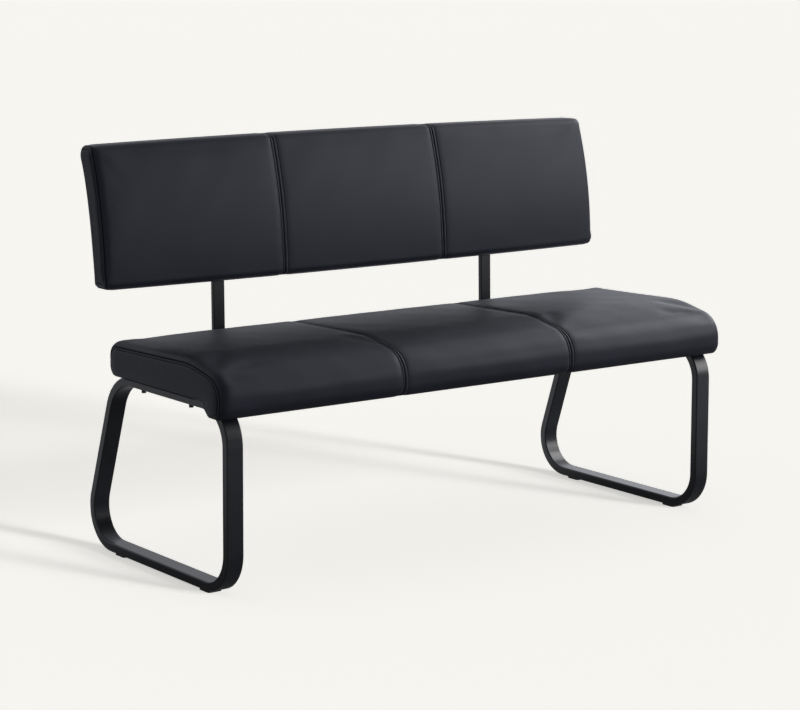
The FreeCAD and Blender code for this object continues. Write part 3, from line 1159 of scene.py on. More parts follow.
    def ripples(self, c: Array) -> Array:
        """Slow waves of the cover and short puckers that die away from the seams.

        Both are sums of sines of x and of the length round the outline, with wave numbers that
        share no factor, so that they don't repeat along the cushion.

        Args:
            c: Lengths walked along X.

        Returns:
            The heights in metres, c by outline.
        """
        along, x = walked(self.section.at)[None, :], c[:, None]
        sewn_end = self.wide - self.end_seam_back
        slow = np.sin(x * 31.0 + 1.7 * np.sin(along * 17.0)) * np.sin(along * 23.0 + 0.8)
        slow += 0.6 * np.sin(x * 57.0 - along * 41.0 + 2.0)
        gap = np.minimum(np.abs(np.abs(x) - self.panel_seam), np.abs(np.abs(x) - sewn_end))
        pucker = np.sin(along * 251.0 + 3.0 * np.sin(along * 37.0) + np.sign(x) * 1.3)
        pucker += 0.7 * np.sin(along * 163.0 + 1.0 + x * 60.0)
        faded = ease((sewn_end - np.abs(x)) / self.ripple_fade)
        waves = self.ripple * slow + self.ripple * pucker * np.exp(-gap / self.pucker_reach)
        return waves * faded * (1.0 - self.held)[None, :]

    def cover(self, c: Array) -> tuple[Array, Array, Array]:
        """The finished cover: raw cover, swell, ripples and seams along the normals.

        Args:
            c: Lengths walked along X.

        Returns:
            Points and the raw cover's normals, c by outline by 3, and how far each point lies in
            a seam's gap, which sets its painted shade.
        """
        points, normal = self.raw(c)
        back = self.wide - np.abs(c)
        clear, fade = self.end_fade
        inner = ease((back - self.end_seam_back - clear) / fade)[:, None]
        across = (np.abs(c) - self.panel_seam)[:, None]
        beyond = (self.end_seam_back - back)[:, None]
        along = np.broadcast_to(self.along_gap[None, :], points.shape[:2])
        panel_sewn, end_sewn = self.panel_sewn[None, :], self.end_sewn[None, :]
        seams = self.seam.height(across) * panel_sewn + self.seam.height(along)
        loose = (self.swelled(c) + self.ripples(c) + seams) * inner
        end = self.end_seam.height(beyond) * end_sewn
        # Painted shade in the joints and stitch rows of panel and end seams, 0 to 1.
        seam_shade = (self.seam.gap(across) * panel_sewn + self.seam.gap(along)) * inner
        seam_shade = np.clip(seam_shade + self.end_seam.gap(beyond) * end_sewn, 0.0, 1.0)
        return points + normal * (end + loose)[..., None], normal, seam_shade

    def end_panel(self, ring: Array, end: End) -> tuple[Array, Array]:
        """An end panel ruled between the shown and the hidden chain of the cover's last ring.

        It bulges by dome where the panel is wide, and takes the seam's height by the distance
        from the ring.

        Args:
            ring: The cover's last ring of points.
            end: Which end it closes.

        Returns:
            Points, outline pairs by columns by 3, and each point's painted shade in the seam's gap.
        """
        n = self.section.pairs
        shown, hidden = ring[: n + 1], self.section.facing(ring)
        sewn_a = self.end_sewn[: n + 1][:, None]
        sewn_b = self.section.facing(self.end_sewn)[:, None]
        t = ACROSS_PANEL[None]
        span = np.linalg.norm(hidden - shown, axis=1)[:, None]
        points = shown[:, None] + (hidden - shown)[:, None] * t[..., None]
        seam, start = self.end_seam, self.end_seam_back
        ringed = seam.height(np.array(start))
        near_a, near_b = start + t * span, start + (1.0 - t) * span
        rise = (seam.height(near_a) - ringed) * sewn_a * (1.0 - t)
        rise += (seam.height(near_b) - ringed) * sewn_b * t
        bulge = self.dome * 4.0 * t * (1.0 - t) * ease(span / self.dome_span)
        wide = ease(span / self.seam_span)
        points[..., 0] += end.value * (rise * wide + bulge)
        points[:, 0], points[:, -1] = shown, hidden
        # The end panel's painted shade near its seam.
        return points, np.maximum(seam.gap(near_a) * sewn_a, seam.gap(near_b) * sewn_b) * wide

    def build(self) -> tuple[bpy.types.Object, list[Row]]:
        """Makes the closed cushion and the rows that its stitches follow.

        Returns:
            The cushion and its rows.
        """
        sewn_end = self.wide - self.end_seam_back
        places = [side * place for side in (-1.0, 1.0) for place in (self.panel_seam, sewn_end)]
        c = stations(-self.wide, self.wide, places, step=0.010, fine=0.00055, reach=0.0075)
        points, normal, seam_shade = self.cover(c)
        work = Patchwork(self.name)
        work.grid(points, closed=True, sewn=seam_shade)
        panels: dict[End, Array] = {}
        for end, ring in ((End.LEFT, points[0]), (End.RIGHT, points[-1])):
            panels[end], seam_shade = self.end_panel(ring, end)
            work.grid(panels[end], flip=end is End.LEFT, sewn=seam_shade)
        return work.made(), self.rows(c, points, normal, panels)

    def rows(
        self, c: Array, points: Array, normal: Array, panels: dict[End, Array]
    ) -> list[Row]:
        """The rows of stitches beside the panel seams and the end seams.

        Args:
            c: Lengths walked along X.
            points: The cover.
            normal: Its normals.
            panels: The end panels, which are not used here.

        Returns:
            The rows.
        """
        shown = slice(0, self.section.pairs + 1)
        sides = (-1.0, 1.0)
        places = [side * self.panel_seam + row for side in sides for row in self.seam.rows]
        ends = [self.wide - self.end_seam_back + row for row in self.end_seam.rows]
        places += [side * end for side in sides for end in ends if end <= self.wide]
        found = [int(np.abs(c - place).argmin()) for place in places]
        return [Row(points[k, shown], normal[k, shown]) for k in found]

    def dress(self, leather: bpy.types.Material, thread: bpy.types.Material) -> None:
        """Builds the cushion and its stitching, gives them their finish and sets them on the frame.

        Args:
            leather: The cushion's finish.
            thread: The thread's finish.
        """
        cushion, rows = self.build()
        stitches = Stitching(self.name.replace("cushion", "stitching"), rows).build()
        settle(cushion, leather, Slot.UPHOLSTERY)
        settle(stitches, thread, Slot.UPHOLSTERY)
        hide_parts(*self.nodes)


def settle(piece: bpy.types.Object, finish: bpy.types.Material, slot: Slot) -> None:
    """Gives a piece its finish, sets it on the frame and logs it.

    Args:
        piece: The piece.
        finish: Its material.
        slot: Not used.
    """
    piece.data.materials.append(finish)
    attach(piece, BODY)
    log.info("%s: %d faces", piece.name, len(piece.data.polygons))


@dataclass
class SeatCushion(Cushion):
    """The seat: flat top, full front roll that wraps a lip, end panels that hang a little low.

    Attributes:
        rear_low: Rear lower corner radius.
        rear_top: Rear upper corner radius.
        rear_rise: Height of the rear edge above the base.
        crown_rise: Height of the crown line above the base.
        front_rise: Height of the front roll's corner above the base.
        crown_setback: How far behind the front the crown line runs.
        crown: Radius at the crown line.
        front: Radius of the front roll.
        lip: Radius under the front roll.
        lip_flat: Length of the lip's underside that shows.
        lip_width: Depth of the lip.
        lip_spread: How much deeper the lip is at the ends, outside the legs.
        hollow: How far behind the front the base meets the hollow behind the lip.
        hollow_rolls: Radii in that hollow and at the lip.
        hem: How far the end panels hang below the base.
        frame_gap: Gap between the leg loops and the base.
        spacing: Distance between outline points.
        end_rolls: Radius of the rolled ends below, and how much more it is on top.
        roll_ease: Lengths over which that more comes in behind and goes out at the lip.
        seam_under: How far the panel seams run under the base, and over what length they end.
        sewn_edge: Length from the shown chain's ends over which the end seams come in.
        held_edge: Length from the shown chain's ends over which the cover comes free.
        end_reach: How far from the end the hem and the deeper lip start, and over what length.
        deep_from: How far above the base the lip starts to get deeper, and over what height.
        deep_over: Behind the lip's round: where it is fully deeper, where it ends, and its fade.
        hem_rise: Height above the base over which the hem comes in.
        base: Height of the base.
        lip_back: Where the lip's round ends, along Y.
    """

    rear_low: float = 0.023
    rear_top: float = 0.037
    rear_rise: float = 0.081
    crown_rise: float = 0.090
    front_rise: float = 0.062
    crown_setback: float = 0.131
    crown: float = 0.300
    front: float = 0.064
    lip: float = 0.028
    lip_flat: float = 0.002
    lip_width: float = 0.0412
    lip_spread: float = 0.021
    hollow: float = 0.0680
    hollow_rolls: tuple[float, float] = (0.084, 0.006)
    hem: float = 0.0003
    frame_gap: float = 0.0003
    spacing: float = 0.0052
    end_rolls: tuple[float, float] = (0.008, 0.011)
    roll_ease: tuple[float, float] = (0.060, 0.035)
    seam_under: tuple[float, float] = (0.03, 0.02)
    sewn_edge: float = 0.02
    held_edge: float = 0.06
    end_reach: tuple[float, float] = (0.016, 0.008)
    deep_from: tuple[float, float] = (0.004, 0.016)
    deep_over: tuple[float, float, float] = (0.014, 0.120, 0.06)
    hem_rise: float = 0.030
    nodes: tuple[str, ...] = (
        "seat_cover_left", "seat_cover_middle", "seat_cover_right",
        "seat_end_panel_left", "seat_end_panel_right", "seat_foam",
    )
    base: float = field(init=False)
    lip_back: float = field(init=False)

    def __post_init__(self) -> None:
        """Reads the CAD covers' box and draws the outline and what is sewn and held along it."""
        low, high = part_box("seat_cover_middle")
        self.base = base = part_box("left_leg_frame")[1].z + self.frame_gap
        front, rear, lip_low = low.y, high.y, low.z
        self.lip_back = front + self.lip
        tip_rear = (rear - self.rear_low, base)
        tip_lip = (front + self.lip + self.lip_flat, lip_low)
        top = (
            (rear, base + self.rear_rise),
            (front + self.crown_setback, base + self.crown_rise),
            (front, base + self.front_rise),
        )
        shown = RoundedPath(
            (tip_rear, (rear, base), *top, (front, lip_low), tip_lip),
            (self.rear_low - HAIR, self.rear_top, self.crown, self.front, self.lip),
        ).trace()
        hollow, lip_end = (front + self.hollow, base), (front + self.lip_width, lip_low)
        hidden = RoundedPath((tip_rear, hollow, lip_end, tip_lip), self.hollow_rolls).trace()
        total_a, total_b = walked(shown)[-1], walked(hidden)[-1]
        count = 2 * round(total_a / self.spacing / 2.0) + 1
        places_a, places_b = np.linspace(0.0, total_a, count), np.linspace(0.0, total_b, count)
        self.section = Section.of_chains(shown, hidden, places_a, places_b)
        edge = np.minimum(places_a, total_a - places_a)
        deep = np.minimum(places_b, total_b - places_b)
        spread, plain = self.section.spread, np.ones(count)
        low_roll, more = self.end_rolls
        behind, at_lip = self.roll_ease
        top_side = ease((places_a - behind) / behind) * ease((total_a - places_a) / at_lip)
        self.roll = spread(low_roll + more * top_side, low_roll * plain)
        under, fade = self.seam_under
        self.panel_sewn = spread(plain, 1.0 - ease((deep - under) / fade))
        self.end_sewn = spread(ease(edge / self.sewn_edge), 0.0 * plain)
        self.held = spread(1.0 - ease(edge / self.held_edge), plain)
        self.along_gap = np.ones(len(self.held))

    def bent(self, points: Array, back: Array) -> Array:
        """Hangs the cover by hem below the base at the ends and deepens the lip there.

        Args:
            points: Points of the cover, moved in place.
            back: Length walked from each ring to the end.

        Returns:
            The points.
        """
        y, below = points[..., 1], self.base - points[..., 2]
        reach, fade = self.end_reach
        rise, height = self.deep_from
        full, stop, out = self.deep_over
        near = ease((reach - back) / fade)
        under = ease((below + rise) / height) * ease((y - self.lip_back) / full)
        under *= ease((self.lip_back + stop - y) / out)
        low = ease((below + self.hem_rise) / self.hem_rise)
        points[..., 1] += self.lip_spread * near * under
        points[..., 2] -= self.hem * near * low
        return points


@dataclass
class BackCushion(Cushion):
    """The backrest: a curved pad, fuller at the top, with a one-piece cover at the back.

    Attributes:
        front_bow: Radius of the front face's bow.
        front_low: Height where the front face is furthest forward.
        rear_bow: Radius of the rear face's bow.
        rear_low: Height where the rear face is furthest forward.
        thickness: Distance between the two faces where they are furthest forward.
        depth: Nominal depth that the outline is drawn at.
        rolls: Corner radii: front low, front top, rear low, rear top.
        end_rolls: Radius of the rolled ends at the edges, and how much more it is between them.
        top_rise: How far the top edge rises in the middle.
        top_fall: How far the top edge falls towards the ends.
        bottom_sag: How far the bottom edge hangs in the middle.
        corners: How far the corners are rounded seen from the front, low and top.
        end_thin: How far the rear comes forward at the top of the ends.
        rear_seams: Heights of the seams of the rear cover, low and top.
        rear_share: Share of the depth from which a point counts as on the rear face.
        edge_flat: Length from the front chain's ends with a small roll and the cover held.
        roll_ease: Length over which the roll then gets its full radius.
        held_ease: Length over which the cover then comes free.
        rear_ease: Length from the rear chain's ends over which the rear face begins.
        thin_reach: How far from the ends the rear comes forward, and from what share of height.
        corner_share: Share of the height that a corner's rounding reaches.
        row_stop: How far before the ends the rows beside the rear seams stop.
        row_near: How far from a rear seam its rows are looked for.
        narrow: An end panel narrower than this many times its row's distance has no row.
        low: Height of the bottom edge.
        high: Height of the top edge.
        face: Where the front face is furthest forward, along Y.
        tail: Where the rear face is furthest forward, along Y.
        rear_side: How far each outline point belongs to the rear face, 0 to 1.
    """

    front_bow: float = 0.925
    front_low: float = 0.5970
    rear_bow: float = 1.000
    rear_low: float = 0.5260
    thickness: float = 0.0524
    depth: float = 0.060
    rolls: tuple[float, float, float, float] = (0.018, 0.013, 0.006, 0.027)
    end_rolls: tuple[float, float] = (0.008, 0.009)
    top_rise: float = 0.0025
    top_fall: float = 0.003
    bottom_sag: float = 0.004
    corners: tuple[float, float] = (0.015, 0.009)
    end_thin: float = 0.008
    rear_seams: tuple[float, float] = (0.6095, 0.8855)
    rear_share: float = 0.8
    edge_flat: float = 0.012
    roll_ease: float = 0.045
    held_ease: float = 0.05
    rear_ease: float = 0.03
    thin_reach: tuple[float, float] = (0.05, 0.2)
    corner_share: float = 0.25
    row_stop: float = 0.03
    row_near: float = 0.02
    narrow: float = 3.0
    nodes: tuple[str, ...] = (
        "backrest_cover_left", "backrest_cover_middle", "backrest_cover_right",
        "backrest_back_cover", "backrest_end_panel_left", "backrest_end_panel_right",
        "backrest_front_foam", "backrest_rear_foam",
    )
    low: float = field(init=False)
    high: float = field(init=False)
    face: float = field(init=False)
    tail: float = field(init=False)
    rear_side: Array = field(init=False)

    def __post_init__(self) -> None:
        """Reads the CAD covers' box and draws the outline and what is sewn and held along it."""
        low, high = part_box("backrest_cover_middle")
        self.low, self.high, self.face = low.z, high.z, low.y
        self.tail = self.face + self.thickness
        dense_a, dense_b = self.chain(0.0, self.rolls[:2]), self.chain(self.depth, self.rolls[2:])
        run_a, run_b = walked(dense_a), walked(dense_b)
        well_back = np.array([[self.rear_share * self.depth, 0.0]]) + dense_b * [0.0, 1.0]
        rear = dense_b[:, 0] > self.bowed(well_back)[:, 0]
        seams = [float(np.interp(z, dense_b[rear, 1], run_b[rear])) for z in self.rear_seams]
        places_b = stations(0.0, run_b[-1], seams, step=0.007, fine=0.0007, reach=0.0065)
        count = len(places_b)
        if count % 2 == 0:
            shares = np.linspace(0, 1, count + 1), np.linspace(0, 1, count)
            places_b = np.interp(*shares, places_b)
            count += 1
        places_a = np.linspace(0.0, run_a[-1], count)
        self.section = Section.of_chains(dense_a, dense_b, places_a, places_b)
        spread, plain = self.section.spread, np.ones(count)
        edge_a = np.minimum(places_a, run_a[-1] - places_a)
        edge_b = np.minimum(places_b, run_b[-1] - places_b)
        edge_roll, more = self.end_rolls
        inner = edge_a - self.edge_flat
        self.roll = spread(edge_roll + more * ease(inner / self.roll_ease), edge_roll * plain)
        inside = (places_b > seams[0]) & (places_b < seams[1])
        self.panel_sewn = spread(plain, np.where(inside, 0.0, 1.0))
        self.end_sewn = spread(plain, plain)
        self.held = spread(1.0 - ease(inner / self.held_ease), plain)
        self.rear_side = spread(0.0 * plain, ease(edge_b / self.rear_ease))
        to_seam = np.abs(places_b[:, None] - np.asarray(seams)[None, :]).min(axis=1)
        self.along_gap = spread(plain, to_seam)

    def chain(self, side: float, rolls: tuple[float, ...]) -> Array:
        """One chain of the outline, from the middle of the bottom edge to that of the top.

        Args:
            side: Nominal depth of the face that it follows.
            rolls: Radii of its low and its top corner.

        Returns:
            Dense points (Y, Z).
        """
        mid = self.depth / 2.0
        corners = ((mid, self.low), (side, self.low), (side, self.high), (mid, self.high))
        flat = RoundedPath(corners, rolls).trace()
        return self.bowed(at_lengths(flat, np.linspace(0.0, walked(flat)[-1], DENSE_POINTS)))

    def bowed(self, flat: Array) -> Array:
        """Bends the drawn outline between the front and rear faces' bows.

        A bow is y = y0 + R - sqrt(R^2 - (z - z0)^2).

        Args:
            flat: Points (nominal depth, Z).

        Returns:
            Points (Y, Z).
        """
        d, z = flat[:, 0], flat[:, 1]
        front = self.face + self.front_bow
        front = front - np.sqrt(self.front_bow**2 - (z - self.front_low) ** 2)
        rear = self.tail + self.rear_bow
        rear = rear - np.sqrt(self.rear_bow**2 - (z - self.rear_low) ** 2)
        return np.stack([front + (rear - front) * d / self.depth, z], axis=1)

    def bent(self, points: Array, back: Array) -> Array:
        """Lets the top edge fall towards the ends and the bottom edge hang, and rounds corners.

        Both edges follow the square of the place along X and ease over the height. At a corner
        the edge drops by R - sqrt(R^2 - t^2), with t the distance past the place where the
        rounding starts.

        Args:
            points: Points of the cover, moved in place.
            back: Length walked from each ring to the end, which is not used here.

        Returns:
            The points.
        """
        share = (points[..., 2] - self.low) / (self.high - self.low)
        out = (points[..., 0] / self.half) ** 2
        top = self.top_rise - (self.top_rise + self.top_fall) * out
        points[..., 2] += top * ease(share) - self.bottom_sag * (1.0 - out) * ease(1.0 - share)
        inside = self.half - np.abs(points[..., 0])
        reach, above = self.thin_reach
        thin = self.rear_side[None, :] * ease(1.0 - inside / reach)
        thin = thin * ease((share - above) / (1.0 - above))
        points[..., 1] -= self.end_thin * thin
        part = self.corner_share
        lift_low, drop_top = ease((part - share) / part), -ease((share - (1.0 - part)) / part)
        for corner, near in zip(self.corners, (lift_low, drop_top)):
            past = np.clip(1.0 - inside / corner, 0.0, 1.0)
            points[..., 2] += corner * (1.0 - np.sqrt(1.0 - past**2)) * near
        return points

    def rows(
        self, c: Array, points: Array, normal: Array, panels: dict[End, Array]
    ) -> list[Row]:
        """Adds rows on the end panels and beside the rear seams to a plain cushion's rows.

        Args:
            c: Lengths walked along X.
            points: The cover.
            normal: Its normals.
            panels: The end panels.

        Returns:
            The rows.
        """
        found = super().rows(c, points, normal, panels)
        row = self.end_seam.rows[0]
        for end, panel in panels.items():
            span = np.linalg.norm(panel[:, -1] - panel[:, 0], axis=1)
            inner = np.flatnonzero(span > self.narrow * row)
            out = np.tile([float(end.value), 0.0, 0.0], (len(inner), 1))
            for near in (row / span[inner], 1.0 - row / span[inner]):
                k = np.abs(ACROSS_PANEL[None, :] - near[:, None]).argmin(axis=1)
                found.append(Row(panel[inner, k], out))
        across = np.flatnonzero(np.abs(c) < self.wide - self.row_stop)
        hidden = np.flatnonzero(self.along_gap < self.row_near)
        for part in np.split(hidden, np.flatnonzero(np.diff(hidden) > 1) + 1):
            middle = int(self.along_gap[part].argmin())
            for side in (part[: middle + 1], part[middle:]):
                k = int(side[np.abs(self.along_gap[side] - self.seam.rows[1]).argmin()])
                found.append(Row(points[across, k], normal[across, k]))
        return found


@dataclass
class Lining:
    """The lining cloth stapled under the seat.

    Attributes:
        front: Where its front edge runs, along Y.
        base_gap: How far it lies below the top of its CAD node.
        sag: How far it hangs between its edges.
        wave: Height of its slack waves.
        wave_edge: Width from the edge over which they come in.
        hem: Width of the turned edge.
        hem_edge: Width over which the turned edge's step eases.
        thick: Thickness of the cloth.
        flat_from: Where the cloth lies flat over a leg, and over what length it gets there.
        leg: Where a leg's middle stands from the middle, along X.
        leg_clear: How far from there staples are left out.
        staple_margin: How far from the cloth's ends the staples start.
        staple_pitch: Distance from staple to staple.
        staple_length: Width of a staple's crown.
        staple_wire: Thickness of its wire.
        staple_points: Points along and round a staple's crown.
        flat: Width and length that the cloth was cut to.
    """

    front: float = -0.180
    base_gap: float = 0.0002
    sag: float = 0.0035
    wave: float = 0.0004
    wave_edge: float = 0.03
    hem: float = 0.014
    hem_edge: float = 0.0015
    thick: float = 0.0006
    flat_from: tuple[float, float] = (0.60, 0.02)
    leg: float = 0.656
    leg_clear: float = 0.035
    staple_margin: float = 0.03
    staple_pitch: float = 0.055
    staple_length: float = 0.010
    staple_wire: float = 0.0012
    staple_points: int = 5
    flat: tuple[float, float] = field(init=False)

    def build(self) -> tuple[bpy.types.Object, bpy.types.Object]:
        """Makes the cloth and its staples.

        The cloth is a flat grid that hangs by sag times a crown in both directions, with a turned
        edge two cloths thick.

        Returns:
            The cloth and its staples.
        """
        low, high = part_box("seat_dust_cover")
        left, right, front, rear = low.x, high.x, self.front, high.y
        fine = {"fine": 0.0012, "reach": 0.002}
        x = stations(left, right, [left + self.hem, right - self.hem], step=0.012, **fine)
        y = stations(front, rear, [front + self.hem, rear - self.hem], step=0.010, **fine)
        u, v = np.meshgrid(x, y, indexing="ij")
        a, b = (u - left) / (right - left), (v - y[0]) / (y[-1] - y[0])
        crown = 16.0 * a * (1.0 - a) * b * (1.0 - b)
        edge = np.minimum(np.minimum(u - left, right - u), np.minimum(v - y[0], y[-1] - v))
        waves = self.wave * np.sin(u * 70.0 + 2.0 * np.sin(v * 30.0)) * np.sin(v * 55.0)
        waves = waves * ease(edge / self.wave_edge)
        turned = self.thick * (1.0 - ease((edge - self.hem) / self.hem_edge))
        over_leg = ease((np.abs(u) - self.flat_from[0]) / self.flat_from[1])
        base = high.z - self.base_gap
        z = base - (self.sag * ease(crown) + waves + turned) * (1.0 - over_leg)
        work = Patchwork("seat_lining")
        work.grid(np.stack([u, v, z], axis=-1), flip=True)
        cloth = work.made()
        self.flat = (float(right - left), float(y[-1] - y[0]))
        return cloth, self.staples((left, right), (y[0], y[-1]), base)

    def staples(
        self, ends: tuple[float, float], edges: tuple[float, float], base: float
    ) -> bpy.types.Object:
        """Staple crowns in the turned edge: short bars, a half-round profile along a straight path.

        Args:
            ends: Left and right edge of the cloth.
            edges: Front and rear edge of the cloth.
            base: Height of the base.

        Returns:
            The staples, as one piece.
        """
        margin, middle, n = self.staple_margin, self.hem / 2.0, self.staple_points
        along = np.arange(ends[0] + margin, ends[1] - margin, self.staple_pitch)
        along = along[np.abs(np.abs(along) - self.leg) > self.leg_clear]
        level = np.full_like(along, base - self.thick)
        lines = (np.full_like(along, edges[0] + middle), np.full_like(along, edges[1] - middle))
        spots = np.concatenate([np.stack([along, line, level], axis=1) for line in lines])
        s, t = np.meshgrid(np.linspace(-1.0, 1.0, n), np.linspace(0.0, math.pi, n), indexing="ij")
        drop = np.sqrt(np.clip(1.0 - np.abs(s) ** 6, 0.0, None))
        wire = self.staple_wire
        bar = (s * self.staple_length / 2.0, np.cos(t) * wire / 2.0, -np.sin(t) * wire * drop)
        work = Patchwork("lining_staples")
        work.copies(np.stack(bar, axis=-1).reshape(-1, 3)[None] + spots[:, None], quads(n, n))
        return work.made(merge=1e-7)

    def dress(self, cloth_finish: bpy.types.Material, wire_finish: bpy.types.Material) -> None:
        """Builds the cloth and the staples, gives them their finish and sets them on the frame.

        Args:
            cloth_finish: The cloth's finish.
            wire_finish: The staples' finish.
        """
        cloth, staples = self.build()
        settle(cloth, cloth_finish, Slot.LINING)
        settle(staples, wire_finish, Slot.FASTENER)
        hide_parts("seat_dust_cover")


@dataclass
class TubeFrame:
    """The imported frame's own pieces, which keep their shape and get their finish.

    Attributes:
        tube: Finish of leg loops and posts.
        plastic: Finish of glides and plugs.
        zinc: Finish of bolts and washers.
        brass: Finish of insert nuts.
        ply: Finish of the boards, and of what else is left.
    """

    tube: bpy.types.Material
    plastic: bpy.types.Material
    zinc: bpy.types.Material
    brass: bpy.types.Material
    ply: bpy.types.Material

    def finish_of(self, node: str) -> bpy.types.Material:
        """The finish that a node's name asks for.

        Args:
            node: Name of the node.

        Returns:
            Its material.
        """
        for words, finish in (
            (("leg_frame", "back_post"), self.tube),
            (("glide", "plug"), self.plastic),
            (("insert",), self.brass),
            (("bolt", "washer"), self.zinc),
        ):
            if any(word in node for word in words):
                return finish
        return self.ply

    def dress(self) -> None:
        """Gives every CAD node its finish."""
        for name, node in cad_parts.items():
            faces = node.data.polygons
            node.data.materials.clear()
            node.data.materials.append(self.finish_of(name))
            faces.foreach_set("material_index", np.zeros(len(faces), np.int32))
            log.info("%s: finish %s", name, node.data.materials[0].name)


@dataclass(frozen=True)
class FloorPaper(Finish):
    """Off-white paper floor that shows its own colour and keeps shadows.

    Attributes:
        paper: Colour of the paper.
        own: Brightness that the camera sees without the lamps.
        mirrored: Colour that the gloss of the bench sees.
        front: How bright it sees the floor well in front of it.
        near: How bright it sees the floor just in front of it.
        left: How bright it sees the floor behind on the left, next to 1 on the right.
        right_gain: How much brighter it sees the floor in front on the right.
        rear_across: Where along X the floor behind goes from left to right.
        front_across: Where along X the floor in front gets brighter.
        front_along: Where along Y the floor in front goes from front to near.
        rear_along: Where along Y the floor in front gives way to the floor behind.
    """

    paper: Colour
    own: float
    mirrored: Colour
    front: float
    near: float
    left: float
    right_gain: float = 1.4
    rear_across: tuple[float, float] = (-0.8, 0.8)
    front_across: tuple[float, float] = (0.3, 1.4)
    front_along: tuple[float, float] = (-1.4, -0.5)
    rear_along: tuple[float, float] = (0.05, 0.75)

    def surface(self, shader: Shader, at: Wire) -> Wire:
        """Lit paper, a little brighter to the camera and an uneven floor to the bench's gloss.

        Args:
            shader: Writer of the material's tree.
            at: Place on the floor.

        Returns:
            The shader.
        """
        straight, glossy = shader.rays()
        x, y, _ = shader.axes(at)
        rear = self.left + (1.0 - self.left) * x.step(*self.rear_across)
        far = self.front + (self.near - self.front) * y.step(*self.front_along)
        front = far + self.right_gain * far * x.step(*self.front_across)
        level = front + (rear - front) * y.step(*self.rear_along)
        colour = (*self.paper, 1.0)
        lit = shader.node("ShaderNodeBsdfDiffuse", {}, {"Color": colour})
        glow = {"Color": colour, "Strength": straight * self.own}
        both = shader.node(
            "ShaderNodeAddShader", {}, {0: lit, 1: shader.node("ShaderNodeEmission", {}, glow)}
        )
        mirror = {"Color": (*self.mirrored, 1.0), "Strength": level}
        gloss = shader.node("ShaderNodeEmission", {}, mirror)
        return shader.node("ShaderNodeMixShader", {}, {0: glossy, 1: both, 2: gloss})


def looking(at: Array, ray: Array, roll: float = 0.0) -> Matrix:
    """The place of a lamp or camera that looks along a ray with its top upwards.

    Args:
        at: Where it stands.
        ray: Direction it looks in.
        roll: Turn about that direction, in radians.

    Returns:
        The matrix whose third axis points back along the ray.
    """
    ray = ray / np.linalg.norm(ray)
    right = np.cross(ray, (0.0, 0.0, 1.0))
    right /= np.linalg.norm(right)
    top = np.cross(right, ray)
    c, s = math.cos(roll), math.sin(roll)
    axes = np.eye(4)
    axes[:3, :3] = np.stack((c * right + s * top, -s * right + c * top, -ray), axis=1)
    axes[:3, 3] = at
    return Matrix(axes.tolist())


@dataclass
class SoftBox:
    """A soft box, which gives gloss only.

    Attributes:
        name: Name of the lamp.
        at: Where it stands.
        aim: What it points at.
        size: Width and height.
        power: Watts.
    """

    name: str
    at: Place
    aim: Place
    size: tuple[float, float]
    power: float

    def build(self) -> None:
        """Sets the lamp up with its face towards its aim; the keys light what isn't gloss."""
        data = bpy.data.lights.new(self.name, "AREA")
        data.shape, data.energy = "RECTANGLE", self.power
        data.size, data.size_y = self.size
        lamp = linked(self.name, data)
        at = np.asarray(self.at)
        lamp.matrix_world = looking(at, np.asarray(self.aim) - at)
        lamp.visible_diffuse = False


@dataclass
class Key:
    """An even light that throws a shadow.

    Attributes:
        name: Name of the lamp.
        toward: Direction from the bench to the light.
        strength: Watts per square metre across it.
        spread: Angle that it fills, in degrees.
        away: How far off its lamp is drawn, which changes nothing in its light.
    """

    name: str
    toward: Place
    strength: float
    spread: float
    away: float = 6.0

    def build(self) -> None:
        """Sets the light up; soft boxes give the gloss, so it leaves none."""
        data = bpy.data.lights.new(self.name, "SUN")
        data.energy, data.angle = self.strength, math.radians(self.spread)
        lamp = linked(self.name, data)
        toward = np.asarray(self.toward)
        lamp.matrix_world = looking(toward * self.away, -toward)
        lamp.visible_glossy = False


